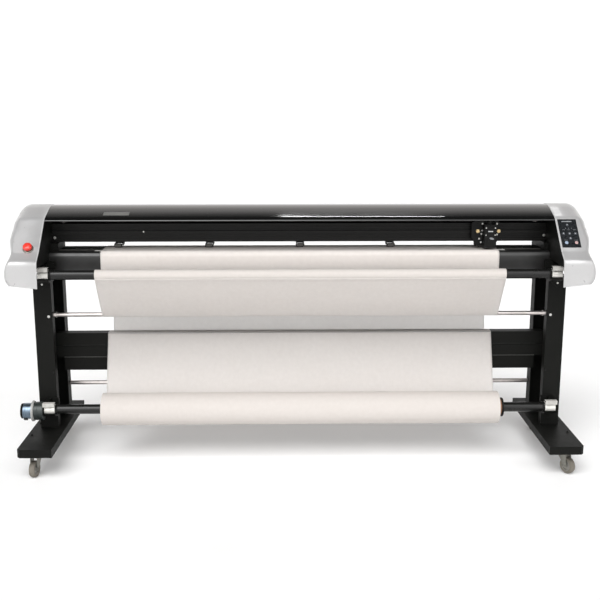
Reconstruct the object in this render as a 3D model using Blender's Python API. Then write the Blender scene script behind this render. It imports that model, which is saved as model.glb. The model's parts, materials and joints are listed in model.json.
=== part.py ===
"""Wide-format roll printer cutter on a caster stand, with take-up and supply rolls.

Frame: X to the operator's right, Y from the operator's side to the back, Z up.
Origin: on the floor under the middle of the machine.  All sizes are in metres.
"""
import math

import bmesh
import bpy
from mathutils import Matrix, Vector

# ---------------------------------------------------------------- driving dimensions
GAP = 0.0003                 # clearance between pieces that touch
PAPER_HALF = 0.915           # half of a 72 inch paper roll
PAPER_THICK = 0.0008

COVER_IN_X = 1.145           # plane where the end covers meet the hood
COVER_WALL = 0.004
NOSE_OUT_X = 1.290           # the covers flare out at the nose,
WAIST_OUT_X = 1.268          # draw in at the waist
UPPER_OUT_X = 1.288          # and widen again above it
COVER_BOTTOM_Z = 0.859
COVER_CORNERS = (            # (y, z, corner radius) from the nose over the crest to the back
    (-0.275, COVER_BOTTOM_Z, 0.0),
    (-0.265, 0.972, 0.016),
    (-0.215, 1.008, 0.050),
    (-0.080, 1.143, 0.060),
    (0.060, 1.194, 0.200),
    (0.225, 1.165, 0.070),
    (0.280, 1.060, 0.090),
    (0.292, COVER_BOTTOM_Z, 0.0),
)

HOOD_LIP_Y = -0.1054
HOOD_REAR_Z = 1.002

FOOT_X = (1.106, 1.260)
FOOT_Y = 0.348
FOOT_Z = (0.112, 0.150)
LEG_X = (1.131, 1.223)
LEG_FRONT_X = 1.141          # the front flange is narrower than the back one
LEG_Y = (-0.058, 0.192)
LEG_TOP_Z = 0.862
LEG_WALL = 0.004
LEG_FRONT_LIP = 0.040
LEG_REAR_LIP = 0.060

CROSSBEAM_Y = (0.077, 0.127)
CROSSBEAM_Z = (0.390, 0.574)
CROSSBEAM_STEP_Z = 0.455     # the lower part stands back and stops short of the legs
CROSSBEAM_STEP = 0.006
CROSSBEAM_TONGUE_X = 1.172   # the upper part runs into the legs' channels

PLATE_X = (1.148, 1.158)     # side plates
EAR_X = (1.118, 1.172)       # front ears that back the take-up brackets
SHELF_Z = 0.945              # in front of the legs the side plates end here
BEAM_END_X = 1.1475          # beam, platen and apron end just before the side plates
BEAM_Y = (0.055, 0.135)
BEAM_Z = (1.0155, 1.100)
RAIL_Z = (1.055, 1.067)
RAIL_OUT = 0.010

PLATEN_Z = 0.982
BLOCK_IN_X = {"left": 1.1120, "right": 1.1260}   # blocks between the platen and the beam
BLOCK_Y = (0.006, 0.136)
PLATEN_Y = (-0.0047, 0.132)
TROUGH_Y = (0.067, 0.103)
TROUGH_Z = 0.952
GUIDE_END = (0.275, 0.900)   # lower end of the rear paper guide
APRON_RADIUS = 0.024
APRON_Y = -0.029
APRON_BOTTOM_Z = 0.888
APRON_WALL = 0.003

DRIVE_Y = 0.085
DRIVE_R = 0.0125
DRIVE_Z = PLATEN_Z - DRIVE_R
DRIVE_HALF = 1.050
JOURNAL_R = 0.008
MOTOR_HALF = 0.028           # feed and carriage motors are square
PINCH_SPACING = 0.4255
PINCH_XS = [PINCH_SPACING * k for k in (-2, -1, 0, 1, 2)]
PINCH_R = 0.010
PINCH_HALF = 0.014
PINCH_Z = PLATEN_Z + PAPER_THICK + 3 * GAP + PINCH_R
LIFT_R = 0.005
LIFT_Y = 0.150               # the lift bar runs behind the beam
LIFT_Z = 1.030

CARRIAGE_X = 0.858
CARRIAGE_HALF = 0.050
TOOL_X = CARRIAGE_X + 0.016
TOOL_MOUNT_HALF = 0.028
TOOL_MOUNT_Z = (0.992, 1.100)
TOOL_R = 0.014
TOOL_Y = 0.0125
PULLEY_X = 1.105
PULLEY_Y = 0.095
PULLEY_R = 0.0125
BELT_Z = (1.106, 1.114)

TAKEUP_YZ = (-0.163, 0.900)
SUPPLY_YZ = (-0.123, 0.262)
TAKEUP_BRACKET_X = (1.117, 1.171)
SUPPLY_BRACKET_X = (1.131, 1.186)
BAR_R = 0.0225
TAKEUP_R = 0.0215
JOURNAL_END_R = 0.0245
ROLL_R = 0.074
MOTOR_DROP = 0.007           # the gearmotor sits lower than the shaft it drives
ARM_WIDTH = 0.021            # the brackets' top arms carry the flaps
ARM_ROOT = 0.010
UPPER_ROD_YZ = (-0.033, 0.690)
LOWER_ROD_YZ = (0.181, 0.297)
ROD_R = 0.010
ROD_CAP_R = 0.013            # caps screwed on the upper rod's ends
ROD_CAP = 0.014

CASTER_X = 1.198
CASTER_Y = 0.266
WHEEL_R = 0.0375
WHEEL_HALF = 0.013
CASTER_TRAIL = 0.022
CASTER_HEADINGS = {"front_left": 170.0, "front_right": -150.0, "rear_left": 0.0, "rear_right": 0.0}

SLOPE = math.atan2(1.143 - 1.008, 0.215 - 0.080)     # tilt of the covers' operating face
PANEL_CENTRE = (1.1955, -0.1442, 1.0788)
PANEL_SIZE = (0.083, 0.156, 0.0055)
KEY_TRAVEL = 0.0008
STOP_CENTRE = (-1.1935, -0.1992, 1.0238)


# ---------------------------------------------------------------- helpers
def clear_scene():
    for obj in list(bpy.data.objects):
        bpy.data.objects.remove(obj, do_unlink=True)


def material(name, colour, roughness, metallic=0.0):
    mat = bpy.data.materials.get(name)
    if mat is None:
        mat = bpy.data.materials.new(name)
        mat.use_nodes = True
        shader = mat.node_tree.nodes["Principled BSDF"]
        shader.inputs["Base Color"].default_value = (*colour, 1.0)
        shader.inputs["Roughness"].default_value = roughness
        shader.inputs["Metallic"].default_value = metallic
    return mat


def finish(bm, name, location=(0, 0, 0), rotation=(0, 0, 0), smooth=False):
    """Turn a bmesh into a named object whose faces point out."""
    bmesh.ops.remove_doubles(bm, verts=bm.verts, dist=0.00001)
    bmesh.ops.recalc_face_normals(bm, faces=bm.faces)
    mesh = bpy.data.meshes.new(name)
    bm.to_mesh(mesh)
    bm.free()
    if smooth:
        mesh.shade_smooth()
        mesh.set_sharp_from_angle(angle=math.radians(35))
    obj = bpy.data.objects.new(name, mesh)
    obj.location = location
    obj.rotation_euler = rotation
    bpy.context.scene.collection.objects.link(obj)
    return obj


def to_bmesh_prism(bm, outline, low, high, place):
    """Extrude a closed 2-D outline between two levels; place maps (u, v, w) to x, y, z."""
    start = [bm.verts.new(place(u, v, low)) for u, v in outline]
    end = [bm.verts.new(place(u, v, high)) for u, v in outline]
    bm.faces.new(start)
    bm.faces.new(end)
    for i in range(len(outline)):
        j = (i + 1) % len(outline)
        bm.faces.new((start[i], start[j], end[j], end[i]))


def along_x(u, v, w):
    return (w, u, v)


def along_y(u, v, w):
    return (u, w, v)


def along_z(u, v, w):
    return (u, v, w)


def prism(name, outline, low, high, place=along_x, **kwargs):
    bm = bmesh.new()
    to_bmesh_prism(bm, outline, low, high, place)
    return finish(bm, name, **kwargs)


def rectangle(u0, u1, v0, v1):
    return [(u0, v0), (u1, v0), (u1, v1), (u0, v1)]


def box(name, xs, ys, zs, **kwargs):
    return prism(name, rectangle(*xs, *ys), zs[0], zs[1], along_z, **kwargs)


def turned(name, profile, axis="X", segments=32, bore=0.0, **kwargs):
    """A round piece from (distance along the axis, radius) steps, with an optional bore."""
    turn = {"X": Matrix.Rotation(math.radians(90), 4, "Y"), "Z": Matrix.Identity(4)}[axis]
    bm = bmesh.new()
    stations = list(profile)
    if bore:
        stations += [(profile[-1][0], bore), (profile[0][0], bore)]
    rings = []
    for along, radius in stations:
        ring = []
        for k in range(segments):
            angle = 2 * math.pi * k / segments
            point = Vector((radius * math.cos(angle), radius * math.sin(angle), along))
            ring.append(bm.verts.new(turn @ point))
        rings.append(ring)
    pairs = list(zip(rings, rings[1:]))
    if bore:
        pairs.append((rings[-1], rings[0]))
    else:
        bm.faces.new(rings[0])
        bm.faces.new(rings[-1])
    for first, second in pairs:
        for k in range(segments):
            n = (k + 1) % segments
            bm.faces.new((first[k], first[n], second[n], second[k]))
    return finish(bm, name, smooth=True, **kwargs)


def arc(centre, radius, start, end, steps):
    """Points of a circular arc, angles in degrees, both ends included."""
    angles = [math.radians(start + (end - start) * k / steps) for k in range(steps + 1)]
    return [(centre[0] + radius * math.cos(a), centre[1] + radius * math.sin(a)) for a in angles]


def rounded_path(corners, steps=5):
    """A polyline through (u, v, radius) corners with each inner corner rounded by an arc."""
    points = [Vector(corners[0][:2])]
    for before, corner, after in zip(corners, corners[1:], corners[2:]):
        here = Vector(corner[:2])
        back = (Vector(before[:2]) - here).normalized()
        ahead = (Vector(after[:2]) - here).normalized()
        half = back.angle(ahead) / 2
        reach = corner[2] / math.tan(half)
        centre = here + (back + ahead).normalized() * corner[2] / math.sin(half)
        first = here + back * reach - centre
        sweep = first.angle_signed(here + ahead * reach - centre)
        for k in range(steps + 1):
            points.append(centre + Matrix.Rotation(-sweep * k / steps, 2) @ first)
    points.append(Vector(corners[-1][:2]))
    return points


def path_normals(points, side=1.0):
    """Unit normals of a polyline, on its right-hand side when side is 1."""
    normals = []
    for i, point in enumerate(points):
        run = points[min(i + 1, len(points) - 1)] - points[max(i - 1, 0)]
        normals.append(side * Vector((run.y, -run.x)).normalized())
    return normals


def thick_outline(points, thickness, side=1.0):
    """Closed outline of a sheet of the given thickness that follows a polyline."""
    offset = [p + n * thickness for p, n in zip(points, path_normals(points, side))]
    return [tuple(p) for p in points] + [tuple(p) for p in reversed(offset)]


def boolean(obj, other, operation):
    mod = obj.modifiers.new(operation.title(), "BOOLEAN")
    mod.operation = operation
    mod.object = other
    mod.solver = "EXACT"
    other.hide_render = True
    other.display_type = "WIRE"


def apply_modifiers(obj, *used):
    """Freeze the modifiers of a piece, then drop the shapes that they used."""
    bpy.context.view_layer.update()
    graph = bpy.context.evaluated_depsgraph_get()
    mesh = bpy.data.meshes.new_from_object(obj.evaluated_get(graph))
    mesh.name = obj.name
    obj.modifiers.clear()
    obj.data = mesh
    for other in used:
        bpy.data.objects.remove(other, do_unlink=True)
    return obj


def union(obj, *parts):
    for part in parts:
        boolean(obj, part, "UNION")
    return apply_modifiers(obj, *parts)


def cut(obj, *cutters):
    for cutter in cutters:
        boolean(obj, cutter, "DIFFERENCE")
    return apply_modifiers(obj, *cutters)


def paint(obj, mat):
    obj.data.materials.clear()
    obj.data.materials.append(mat)
    return obj


def smoothstep(low, high, value):
    t = min(max((value - low) / (high - low), 0.0), 1.0)
    return t * t * (3 - 2 * t)


SILVER = material("silver_plastic", (0.60, 0.60, 0.61), 0.35, 0.3)
GLOSS_BLACK = material("gloss_black", (0.010, 0.011, 0.010), 0.12)
BLACK_METAL = material("black_powder_coat", (0.014, 0.016, 0.014), 0.5)
BLACK_PLASTIC = material("black_plastic", (0.020, 0.020, 0.020), 0.45)
STEEL = material("steel", (0.62, 0.60, 0.58), 0.30, 1.0)
RUBBER = material("grey_rubber", (0.30, 0.28, 0.24), 0.7)
BELT = material("belt_rubber", (0.02, 0.02, 0.02), 0.8)
PAPER = material("paper", (0.80, 0.77, 0.73), 0.85)
RED = material("red_plastic", (0.62, 0.03, 0.02), 0.35)
PANEL = material("panel_film", (0.035, 0.040, 0.045), 0.3)
KEY = material("key_grey", (0.12, 0.13, 0.15), 0.4)


# ---------------------------------------------------------------- stand
def leg_outline(side):
    """Lipped channel, open towards the middle of the machine."""
    inner, outer = LEG_X
    front, back = LEG_Y
    t = LEG_WALL
    lip = LEG_FRONT_X
    points = [
        (lip, front), (outer, front), (outer, back), (inner, back),
        (inner, back - LEG_REAR_LIP), (inner + t, back - LEG_REAR_LIP), (inner + t, back - t),
        (outer - t, back - t), (outer - t, front + t), (lip + t, front + t),
        (lip + t, front + LEG_FRONT_LIP), (lip, front + LEG_FRONT_LIP),
    ]
    return [(side * x, y) for x, y in points]


def foot_outline(side):
    """Long bar, its two outer corners cut off."""
    inner, outer = FOOT_X
    c = 0.012
    points = [(inner, -FOOT_Y), (outer - c, -FOOT_Y), (outer, -FOOT_Y + c),
              (outer, FOOT_Y - c), (outer - c, FOOT_Y), (inner, FOOT_Y)]
    return [(side * x, y) for x, y in points]


def make_stand():
    for side, word in ((-1, "left"), (1, "right")):
        foot = prism(f"{word}_foot", foot_outline(side), *FOOT_Z, along_z)
        bosses = [turned("boss", [(0, 0.023), (0.010, 0.023)], "Z", 20,
                         location=(side * CASTER_X, y, FOOT_Z[0] - 0.006))
                  for y in (-CASTER_Y, CASTER_Y)]
        paint(union(foot, *bosses), BLACK_METAL)
        paint(prism(f"{word}_leg", leg_outline(side), FOOT_Z[1] + GAP, LEG_TOP_Z - GAP, along_z),
              BLACK_METAL)

    front, back = CROSSBEAM_Y
    low, high = CROSSBEAM_Z
    step = CROSSBEAM_STEP
    groove_z = 0.512
    outline = [
        (front + step, low), (back, low), (back, high), (front, high),
        (front, groove_z + 0.003), (front + 0.003, groove_z + 0.003),
        (front + 0.003, groove_z - 0.003), (front, groove_z - 0.003),
        (front, CROSSBEAM_STEP_Z), (front + step, CROSSBEAM_STEP_Z),
    ]
    beam = prism("crossbeam", outline, -CROSSBEAM_TONGUE_X, CROSSBEAM_TONGUE_X)
    t = 0.005
    hollow = box("hollow", (-1.3, 1.3), (front + step + t, back - t), (low + t, high - t))
    ends = [box("end", sorted((side * (LEG_X[0] - 0.001), side * 1.3)), (0.0, 0.2),
                (low - 0.01, CROSSBEAM_STEP_Z)) for side in (-1, 1)]
    paint(cut(beam, hollow, *ends), BLACK_METAL)

    end = LEG_FRONT_X - GAP
    cap = end - ROD_CAP
    paint(turned("upper_guide_rod",
                 [(-end, ROD_CAP_R), (-cap, ROD_CAP_R), (-cap, ROD_R), (cap, ROD_R),
                  (cap, ROD_CAP_R), (end, ROD_CAP_R)],
                 segments=20, location=(0, *UPPER_ROD_YZ)), STEEL)
    end = LEG_X[0] - GAP
    paint(turned("lower_guide_rod", [(-end, ROD_R), (end, ROD_R)], segments=20,
                 location=(0, *LOWER_ROD_YZ)), STEEL)


def make_casters():
    """A caster hangs from its swivel axis; heading turns it about Z."""
    crown_z = FOOT_Z[0] - 0.006 - GAP
    fork_wall = 0.003
    inside = WHEEL_HALF + 0.0015
    trail = CASTER_TRAIL
    for place, heading in CASTER_HEADINGS.items():
        x = CASTER_X * (-1 if "left" in place else 1)
        y = CASTER_Y * (-1 if "front" in place else 1)
        fork = turned("fork", [(-0.016, 0.019), (-0.012, 0.022), (0, 0.022)], "Z", 20)
        crown = box("crown", (-inside - fork_wall, inside + fork_wall), (-0.020, trail + 0.010),
                    (-0.024, -0.014))
        cheek = [(-0.020, -0.015), (-0.020, -0.026), (trail - 0.010, WHEEL_R - crown_z - 0.010),
                 (trail + 0.010, WHEEL_R - crown_z - 0.010), (trail + 0.010, -0.015)]
        cheeks = [prism("cheek", cheek, *sorted((s * inside, s * (inside + fork_wall))))
                  for s in (-1, 1)]
        pin = turned("pin", [(-inside - fork_wall - 0.003, 0.004), (inside + fork_wall + 0.003, 0.004)],
                     segments=12, location=(0, trail, WHEEL_R - crown_z))
        union(fork, crown, *cheeks, pin)
        fork.name = f"caster_fork_{place}"
        fork.location = (x, y, crown_z)
        fork.rotation_euler = (0, 0, math.radians(heading))
        paint(fork, STEEL)
        edge = 0.004
        wheel = turned(f"caster_wheel_{place}",
                       [(-WHEEL_HALF, WHEEL_R - edge), (-WHEEL_HALF + edge, WHEEL_R),
                        (WHEEL_HALF - edge, WHEEL_R), (WHEEL_HALF, WHEEL_R - edge)],
                       segments=32, bore=0.0044)
        turn = Matrix.Rotation(math.radians(heading), 3, "Z")
        wheel.location = Vector((x, y, WHEEL_R)) + turn @ Vector((0, trail, 0))
        wheel.rotation_euler = (0, 0, math.radians(heading))
        paint(wheel, RUBBER)


# ---------------------------------------------------------------- covers
def cover_side_x(z):
    """How far out the side of a cover stands at a height."""
    nose = smoothstep(0.998, 0.955, z)
    upper = smoothstep(0.998, 1.065, z)
    return WAIST_OUT_X + nose * (NOSE_OUT_X - WAIST_OUT_X) + upper * (UPPER_OUT_X - WAIST_OUT_X)


def cover_edge_radius(z):
    """Roundness of the covers' outer edge: tight at the nose, full at the crest."""
    return 0.014 + 0.036 * smoothstep(1.00, 1.17, z)


def make_cover(name, side):
    """Moulded cap, open at the bottom and towards the side plate."""
    path = rounded_path(COVER_CORNERS, 4)
    inward = path_normals(path)
    bm = bmesh.new()
    rows = [[(COVER_IN_X, p.x, p.y) for p in path]]
    edge_steps = 4
    for k in range(edge_steps + 1):
        angle = math.pi / 2 * k / edge_steps
        row = []
        for p, n in zip(path, inward):
            r = cover_edge_radius(p.y)
            q = p + n * r * (1 - math.cos(angle))
            row.append((cover_side_x(p.y) - r * (1 - math.sin(angle)), q.x, q.y))
        rows.append(row)
    rim = rows[-1]
    side_steps = 5
    for k in range(1, side_steps + 1):
        t = k / side_steps
        row = []
        for i, (x, y, z) in enumerate(rim):
            y_base = rim[0][1] + (rim[-1][1] - rim[0][1]) * i / (len(rim) - 1)
            z_here = z + (COVER_BOTTOM_Z - z) * t
            row.append((cover_side_x(z_here), y + (y_base - y) * t, z_here))
        rows.append(row)
    grid = []
    for row in rows:
        line = []
        for x, y, z in row:
            lift = 0.016 * (x - COVER_IN_X) / (NOSE_OUT_X - COVER_IN_X)
            low = smoothstep(COVER_BOTTOM_Z + 0.06, COVER_BOTTOM_Z, z)
            line.append(bm.verts.new((side * x, y, z + lift * low)))
        grid.append(line)
    for first, second in zip(grid, grid[1:]):
        for i in range(len(first) - 1):
            bm.faces.new((first[i], first[i + 1], second[i + 1], second[i]))
    if side > 0:
        bmesh.ops.reverse_faces(bm, faces=bm.faces)
    bmesh.ops.remove_doubles(bm, verts=bm.verts, dist=0.00005)
    bmesh.ops.dissolve_degenerate(bm, dist=0.00005, edges=bm.edges)
    mesh = bpy.data.meshes.new(name)
    bm.to_mesh(mesh)
    bm.free()
    mesh.shade_smooth()
    mesh.set_sharp_from_angle(angle=math.radians(50))
    cover = bpy.data.objects.new(name, mesh)
    bpy.context.scene.collection.objects.link(cover)
    shell = cover.modifiers.new("Wall", "SOLIDIFY")
    shell.thickness = COVER_WALL
    shell.offset = -1
    apply_modifiers(cover)
    return cover


def make_covers():
    left = make_cover("left_end_cover", -1)
    neck_hole = turned("neck_hole", [(-0.03, 0.0125), (0.03, 0.0125)], "Z", 24,
                       location=STOP_CENTRE, rotation=(SLOPE, 0, 0))
    paint(cut(left, neck_hole), SILVER)

    right = make_cover("right_end_cover", 1)
    width, height = PANEL_SIZE[:2]
    window = box("window", (-width / 2 - GAP, width / 2 + GAP),
                 (-height / 2 - GAP, height / 2 + GAP), (-0.03, 0.03),
                 location=PANEL_CENTRE, rotation=(SLOPE, 0, 0))
    inlet_window = box("inlet_window", (1.178, 1.232), (0.25, 0.32), (0.908, 0.952))
    paint(cut(right, window, inlet_window), SILVER)

    path = rounded_path(COVER_CORNERS, 6)
    skin = [p + n * 0.0008 for p, n in zip(path, path_normals(path))]
    skin = [p for p in skin if p.x > HOOD_LIP_Y and (p.y > HOOD_REAR_Z or p.x < 0.1)]
    last = skin[-1]
    low = Vector(COVER_CORNERS[-1][:2])
    skin.append(last + (low - last) * (last.y - HOOD_REAR_Z) / (last.y - low.y))
    skin[-1].x -= 0.0004
    lip = skin[0]
    points = [Vector((lip.x + 0.016, lip.y - 0.001)), Vector((lip.x + 0.002, lip.y - 0.003))] + skin
    hood = prism("hood", thick_outline(points, 0.003), -COVER_IN_X + GAP, COVER_IN_X - GAP)
    hood.data.shade_smooth()
    hood.data.set_sharp_from_angle(angle=math.radians(30))
    paint(hood, GLOSS_BLACK)


def make_side_plates():
    """Plates inside the covers that carry the beam and the platen on the legs."""
    path = rounded_path(COVER_CORNERS, 3)
    inset = [p + n * (COVER_WALL + 0.0015) for p, n in zip(path, path_normals(path))]
    upper = [p for p in inset if p.y > SHELF_Z]
    outline = [(upper[0].x, SHELF_Z)] + [tuple(p) for p in upper]
    outline += [(upper[-1].x + 0.003, LEG_TOP_Z), (LEG_Y[0], LEG_TOP_Z), (LEG_Y[0], SHELF_Z)]
    for side, word in ((-1, "left"), (1, "right")):
        span = sorted((side * PLATE_X[0], side * PLATE_X[1]))
        plate = prism(f"{word}_side_plate", outline, *span)
        base = box("base", sorted((side * LEG_X[0], side * LEG_X[1])), LEG_Y,
                   (LEG_TOP_Z, LEG_TOP_Z + 0.008))
        ear = box("ear", sorted((side * EAR_X[0], side * EAR_X[1])), (LEG_Y[0], LEG_Y[0] + 0.008),
                  (LEG_TOP_Z, SHELF_Z))
        block = box("block", sorted((side * BLOCK_IN_X[word], side * (PLATE_X[0] + 0.002))),
                    BLOCK_Y, (PLATEN_Z + GAP, BEAM_Z[0] - GAP))
        union(plate, base, ear, block)
        bores = [turned("bore", [(-0.02, radius), (0.02, radius)], segments=20,
                        location=(side * (PLATE_X[0] + 0.015), y, z))
                 for radius, y, z in ((JOURNAL_R + 0.0005, DRIVE_Y, DRIVE_Z),
                                      (LIFT_R + 0.0004, LIFT_Y, LIFT_Z))]
        paint(cut(plate, *bores), BLACK_METAL)


# ---------------------------------------------------------------- printing and cutting bridge
def make_beam():
    """Ribbed hollow extrusion with the carriage rail on its front face."""
    front, back = BEAM_Y
    low, high = BEAM_Z
    outline = [(front, low), (back, low), (back, high), (front, high)]
    for z in (1.092, 1.084, 1.076):
        outline += [(front, z), (front + 0.002, z), (front + 0.002, z - 0.004), (front, z - 0.004)]
    outline += [(front, RAIL_Z[1]), (front - RAIL_OUT, RAIL_Z[1]),
                (front - RAIL_OUT, RAIL_Z[0]), (front, RAIL_Z[0])]
    for z in (1.047, 1.039, 1.031):
        outline += [(front, z), (front + 0.002, z), (front + 0.002, z - 0.004), (front, z - 0.004)]
    beam = prism("carriage_beam", outline, -BEAM_END_X, BEAM_END_X)
    wall = 0.006
    hollow = box("hollow", (-1.2, 1.2), (front + wall, back - wall), (low + wall, high - wall))
    cut(beam, hollow)
    pin = turned("pin", [(-0.003, 0.004), (0.016, 0.004)], "Z", 16,
                 location=(-PULLEY_X, PULLEY_Y, high))
    paint(union(beam, pin), BLACK_METAL)


def make_platen():
    """Table with a trough for the drive roller and a curved guide down the back."""
    top = PLATEN_Z
    front, back = PLATEN_Y
    t = 0.004
    reach_y, reach_z = GUIDE_END[0] - back, top - GUIDE_END[1]
    curve = [(back + reach_y * math.sin(a), GUIDE_END[1] + reach_z * math.cos(a))
             for a in (math.pi / 2 * k / 8 for k in range(9))]
    inner_curve = [(back + (reach_y - t) * math.sin(a), GUIDE_END[1] + (reach_z - t) * math.cos(a))
                   for a in (math.pi / 2 * k / 8 for k in range(9))]
    outline = [(front, top), (TROUGH_Y[0], top), (TROUGH_Y[0], TROUGH_Z), (TROUGH_Y[1], TROUGH_Z),
               (TROUGH_Y[1], top)]
    outline += curve + inner_curve[::-1]
    outline += [(TROUGH_Y[1] + t, top - t), (TROUGH_Y[1] + t, TROUGH_Z - t),
                (TROUGH_Y[0] - t, TROUGH_Z - t), (TROUGH_Y[0] - t, top - t),
                (front + t, top - t), (front + t, top - 0.040), (front, top - 0.040)]
    paint(prism("platen", outline, -BEAM_END_X, BEAM_END_X), BLACK_METAL)

    centre = (APRON_Y + APRON_RADIUS, PLATEN_Z - APRON_RADIUS)
    outer = arc(centre, APRON_RADIUS, 90, 180, 6) + [(APRON_Y, APRON_BOTTOM_Z)]
    inner = arc(centre, APRON_RADIUS - APRON_WALL, 90, 180, 6)
    inner += [(APRON_Y + APRON_WALL, APRON_BOTTOM_Z)]
    apron = prism("apron", outer + inner[::-1], -BEAM_END_X, BEAM_END_X)
    apron.data.shade_smooth()
    apron.data.set_sharp_from_angle(angle=math.radians(30))
    paint(apron, GLOSS_BLACK)


def make_feed():
    """Drive roller under the paper, pinch rollers above it on a lifting bar."""
    driven_end = PLATE_X[1] + 0.0045
    paint(turned("drive_roller",
                 [(-driven_end, JOURNAL_R), (-DRIVE_HALF, JOURNAL_R), (-DRIVE_HALF, DRIVE_R),
                  (DRIVE_HALF, DRIVE_R), (DRIVE_HALF, JOURNAL_R), (PLATE_X[1], JOURNAL_R)],
                 segments=24, location=(0, DRIVE_Y, DRIVE_Z)), STEEL)

    half = MOTOR_HALF
    motor = box("feed_motor", (-1.236, -driven_end - GAP), (DRIVE_Y - half, DRIVE_Y + half),
                (DRIVE_Z - half, DRIVE_Z + half))
    bevel = motor.modifiers.new("Corners", "BEVEL")
    bevel.width = 0.004
    bevel.segments = 1
    paint(motor, BLACK_PLASTIC)

    lift_end = PLATE_X[0] + 0.005
    lift = turned("pinch_lift_bar", [(-lift_end, LIFT_R), (lift_end, LIFT_R)], segments=16)
    pin_y = DRIVE_Y - LIFT_Y
    pin_z = PINCH_Z - LIFT_Z
    back, front = 0.0062, -0.010
    cheek = [(back, 0.0062), (front, 0.0062), (front, -0.0255), (pin_y, pin_z + 0.0055),
             (pin_y - 0.006, pin_z), (pin_y, pin_z - 0.0055), (back, -0.0375)]
    cheek_in, cheek_out = PINCH_HALF + 0.001, PINCH_HALF + 0.005
    parts = []
    for x in PINCH_XS:
        for s in (-1, 1):
            parts.append(prism("cheek", cheek, *sorted((x + s * cheek_in, x + s * cheek_out))))
        parts.append(box("web", (x - cheek_out + 0.001, x + cheek_out - 0.001),
                         (front + 0.001, front + 0.004), (-0.034, 0.004)))
        parts.append(turned("pin", [(x - cheek_in - 0.002, 0.003), (x + cheek_in + 0.002, 0.003)],
                            segments=10, location=(0, pin_y, pin_z)))
    union(lift, *parts)
    lift.location = (0, LIFT_Y, LIFT_Z)
    paint(lift, BLACK_METAL)
    for number, x in enumerate(PINCH_XS, 1):
        paint(turned(f"pinch_roller_{number}", [(-PINCH_HALF, PINCH_R), (PINCH_HALF, PINCH_R)],
                     segments=20, bore=0.0034, location=(x, DRIVE_Y, PINCH_Z)), RUBBER)


def make_carriage():
    """Carriage on the rail, its tool holder, and the belt drive above the beam."""
    rail_front = BEAM_Y[0] - RAIL_OUT
    back = BEAM_Y[0] - 0.003
    clear = 0.0005
    outline = [
        (0.030, 1.000), (0.040, 1.000), (back, 1.022), (back, RAIL_Z[0] - clear),
        (rail_front - clear, RAIL_Z[0] - clear), (rail_front - clear, RAIL_Z[1] + clear),
        (back, RAIL_Z[1] + clear), (back, 1.103), (PULLEY_Y - PULLEY_R - 0.0023, 1.103),
        (PULLEY_Y - PULLEY_R - 0.0023, 1.113), (0.034, 1.117), (0.030, 1.113),
    ]
    carriage = prism("carriage", outline, CARRIAGE_X - CARRIAGE_HALF, CARRIAGE_X + CARRIAGE_HALF)
    mount = box("mount", (TOOL_X - TOOL_MOUNT_HALF, TOOL_X + TOOL_MOUNT_HALF), (-0.008, 0.032),
                TOOL_MOUNT_Z)
    union(carriage, mount)
    low, high = TOOL_MOUNT_Z
    sleeve = turned("sleeve", [(low - 0.01, TOOL_R + 0.0005), (high + 0.015, TOOL_R + 0.0005)],
                    "Z", 24, location=(TOOL_X, TOOL_Y, 0))
    paint(cut(carriage, sleeve), BLACK_PLASTIC)

    tip_z = PLATEN_Z + PAPER_THICK + GAP + 0.004
    tool = turned("tool_holder",
                  [(0, 0.0010), (0.004, 0.0025), (0.008, 0.0060), (0.014, TOOL_R),
                   (0.118, TOOL_R), (0.118, 0.0165), (0.126, 0.0165), (0.130, 0.0110)],
                  "Z", 24, location=(TOOL_X, TOOL_Y, tip_z))
    paint(tool, BLACK_PLASTIC)

    loop = []
    inner = []
    for radius, points in ((PULLEY_R + GAP + 0.0012, loop), (PULLEY_R + GAP, inner)):
        points += arc((PULLEY_X, PULLEY_Y), radius, -90, 90, 10)
        points += arc((-PULLEY_X, PULLEY_Y), radius, 90, 270, 10)
    bm = bmesh.new()
    low, high = BELT_Z
    rings = [[bm.verts.new((x, y, z)) for x, y in points]
             for points, z in ((loop, low), (loop, high), (inner, high), (inner, low))]
    for first, second in zip(rings, rings[1:] + rings[:1]):
        for i in range(len(first)):
            j = (i + 1) % len(first)
            bm.faces.new((first[i], first[j], second[j], second[i]))
    paint(finish(bm, "carriage_belt"), BELT)

    flange = PULLEY_R + 0.003
    paint(turned("idler_pulley", [(low - 0.002, flange), (low - GAP, flange), (low - GAP, PULLEY_R),
                                  (high + GAP, PULLEY_R), (high + GAP, flange),
                                  (high + 0.002, flange)],
                 "Z", 20, bore=0.0044, location=(-PULLEY_X, PULLEY_Y, 0)), STEEL)
    motor_z = high + 0.006
    paint(turned("drive_pulley", [(low - 0.002, flange), (low - GAP, flange), (low - GAP, PULLEY_R),
                                  (high + GAP, PULLEY_R), (high + GAP, flange),
                                  (high + 0.002, flange), (high + 0.002, 0.004),
                                  (motor_z - GAP, 0.004)],
                 "Z", 20, location=(PULLEY_X, PULLEY_Y, 0)), STEEL)
    half = MOTOR_HALF
    motor = box("carriage_motor", (PULLEY_X - half, PULLEY_X + half),
                (PULLEY_Y - half, PULLEY_Y + half), (motor_z, motor_z + 0.044))
    stand = box("stand", (PULLEY_X - half, PULLEY_X + half), (PULLEY_Y + 0.019, PULLEY_Y + half),
                (BEAM_Z[1] + GAP, motor_z + 0.002))
    paint(union(motor, stand), BLACK_PLASTIC)


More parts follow.
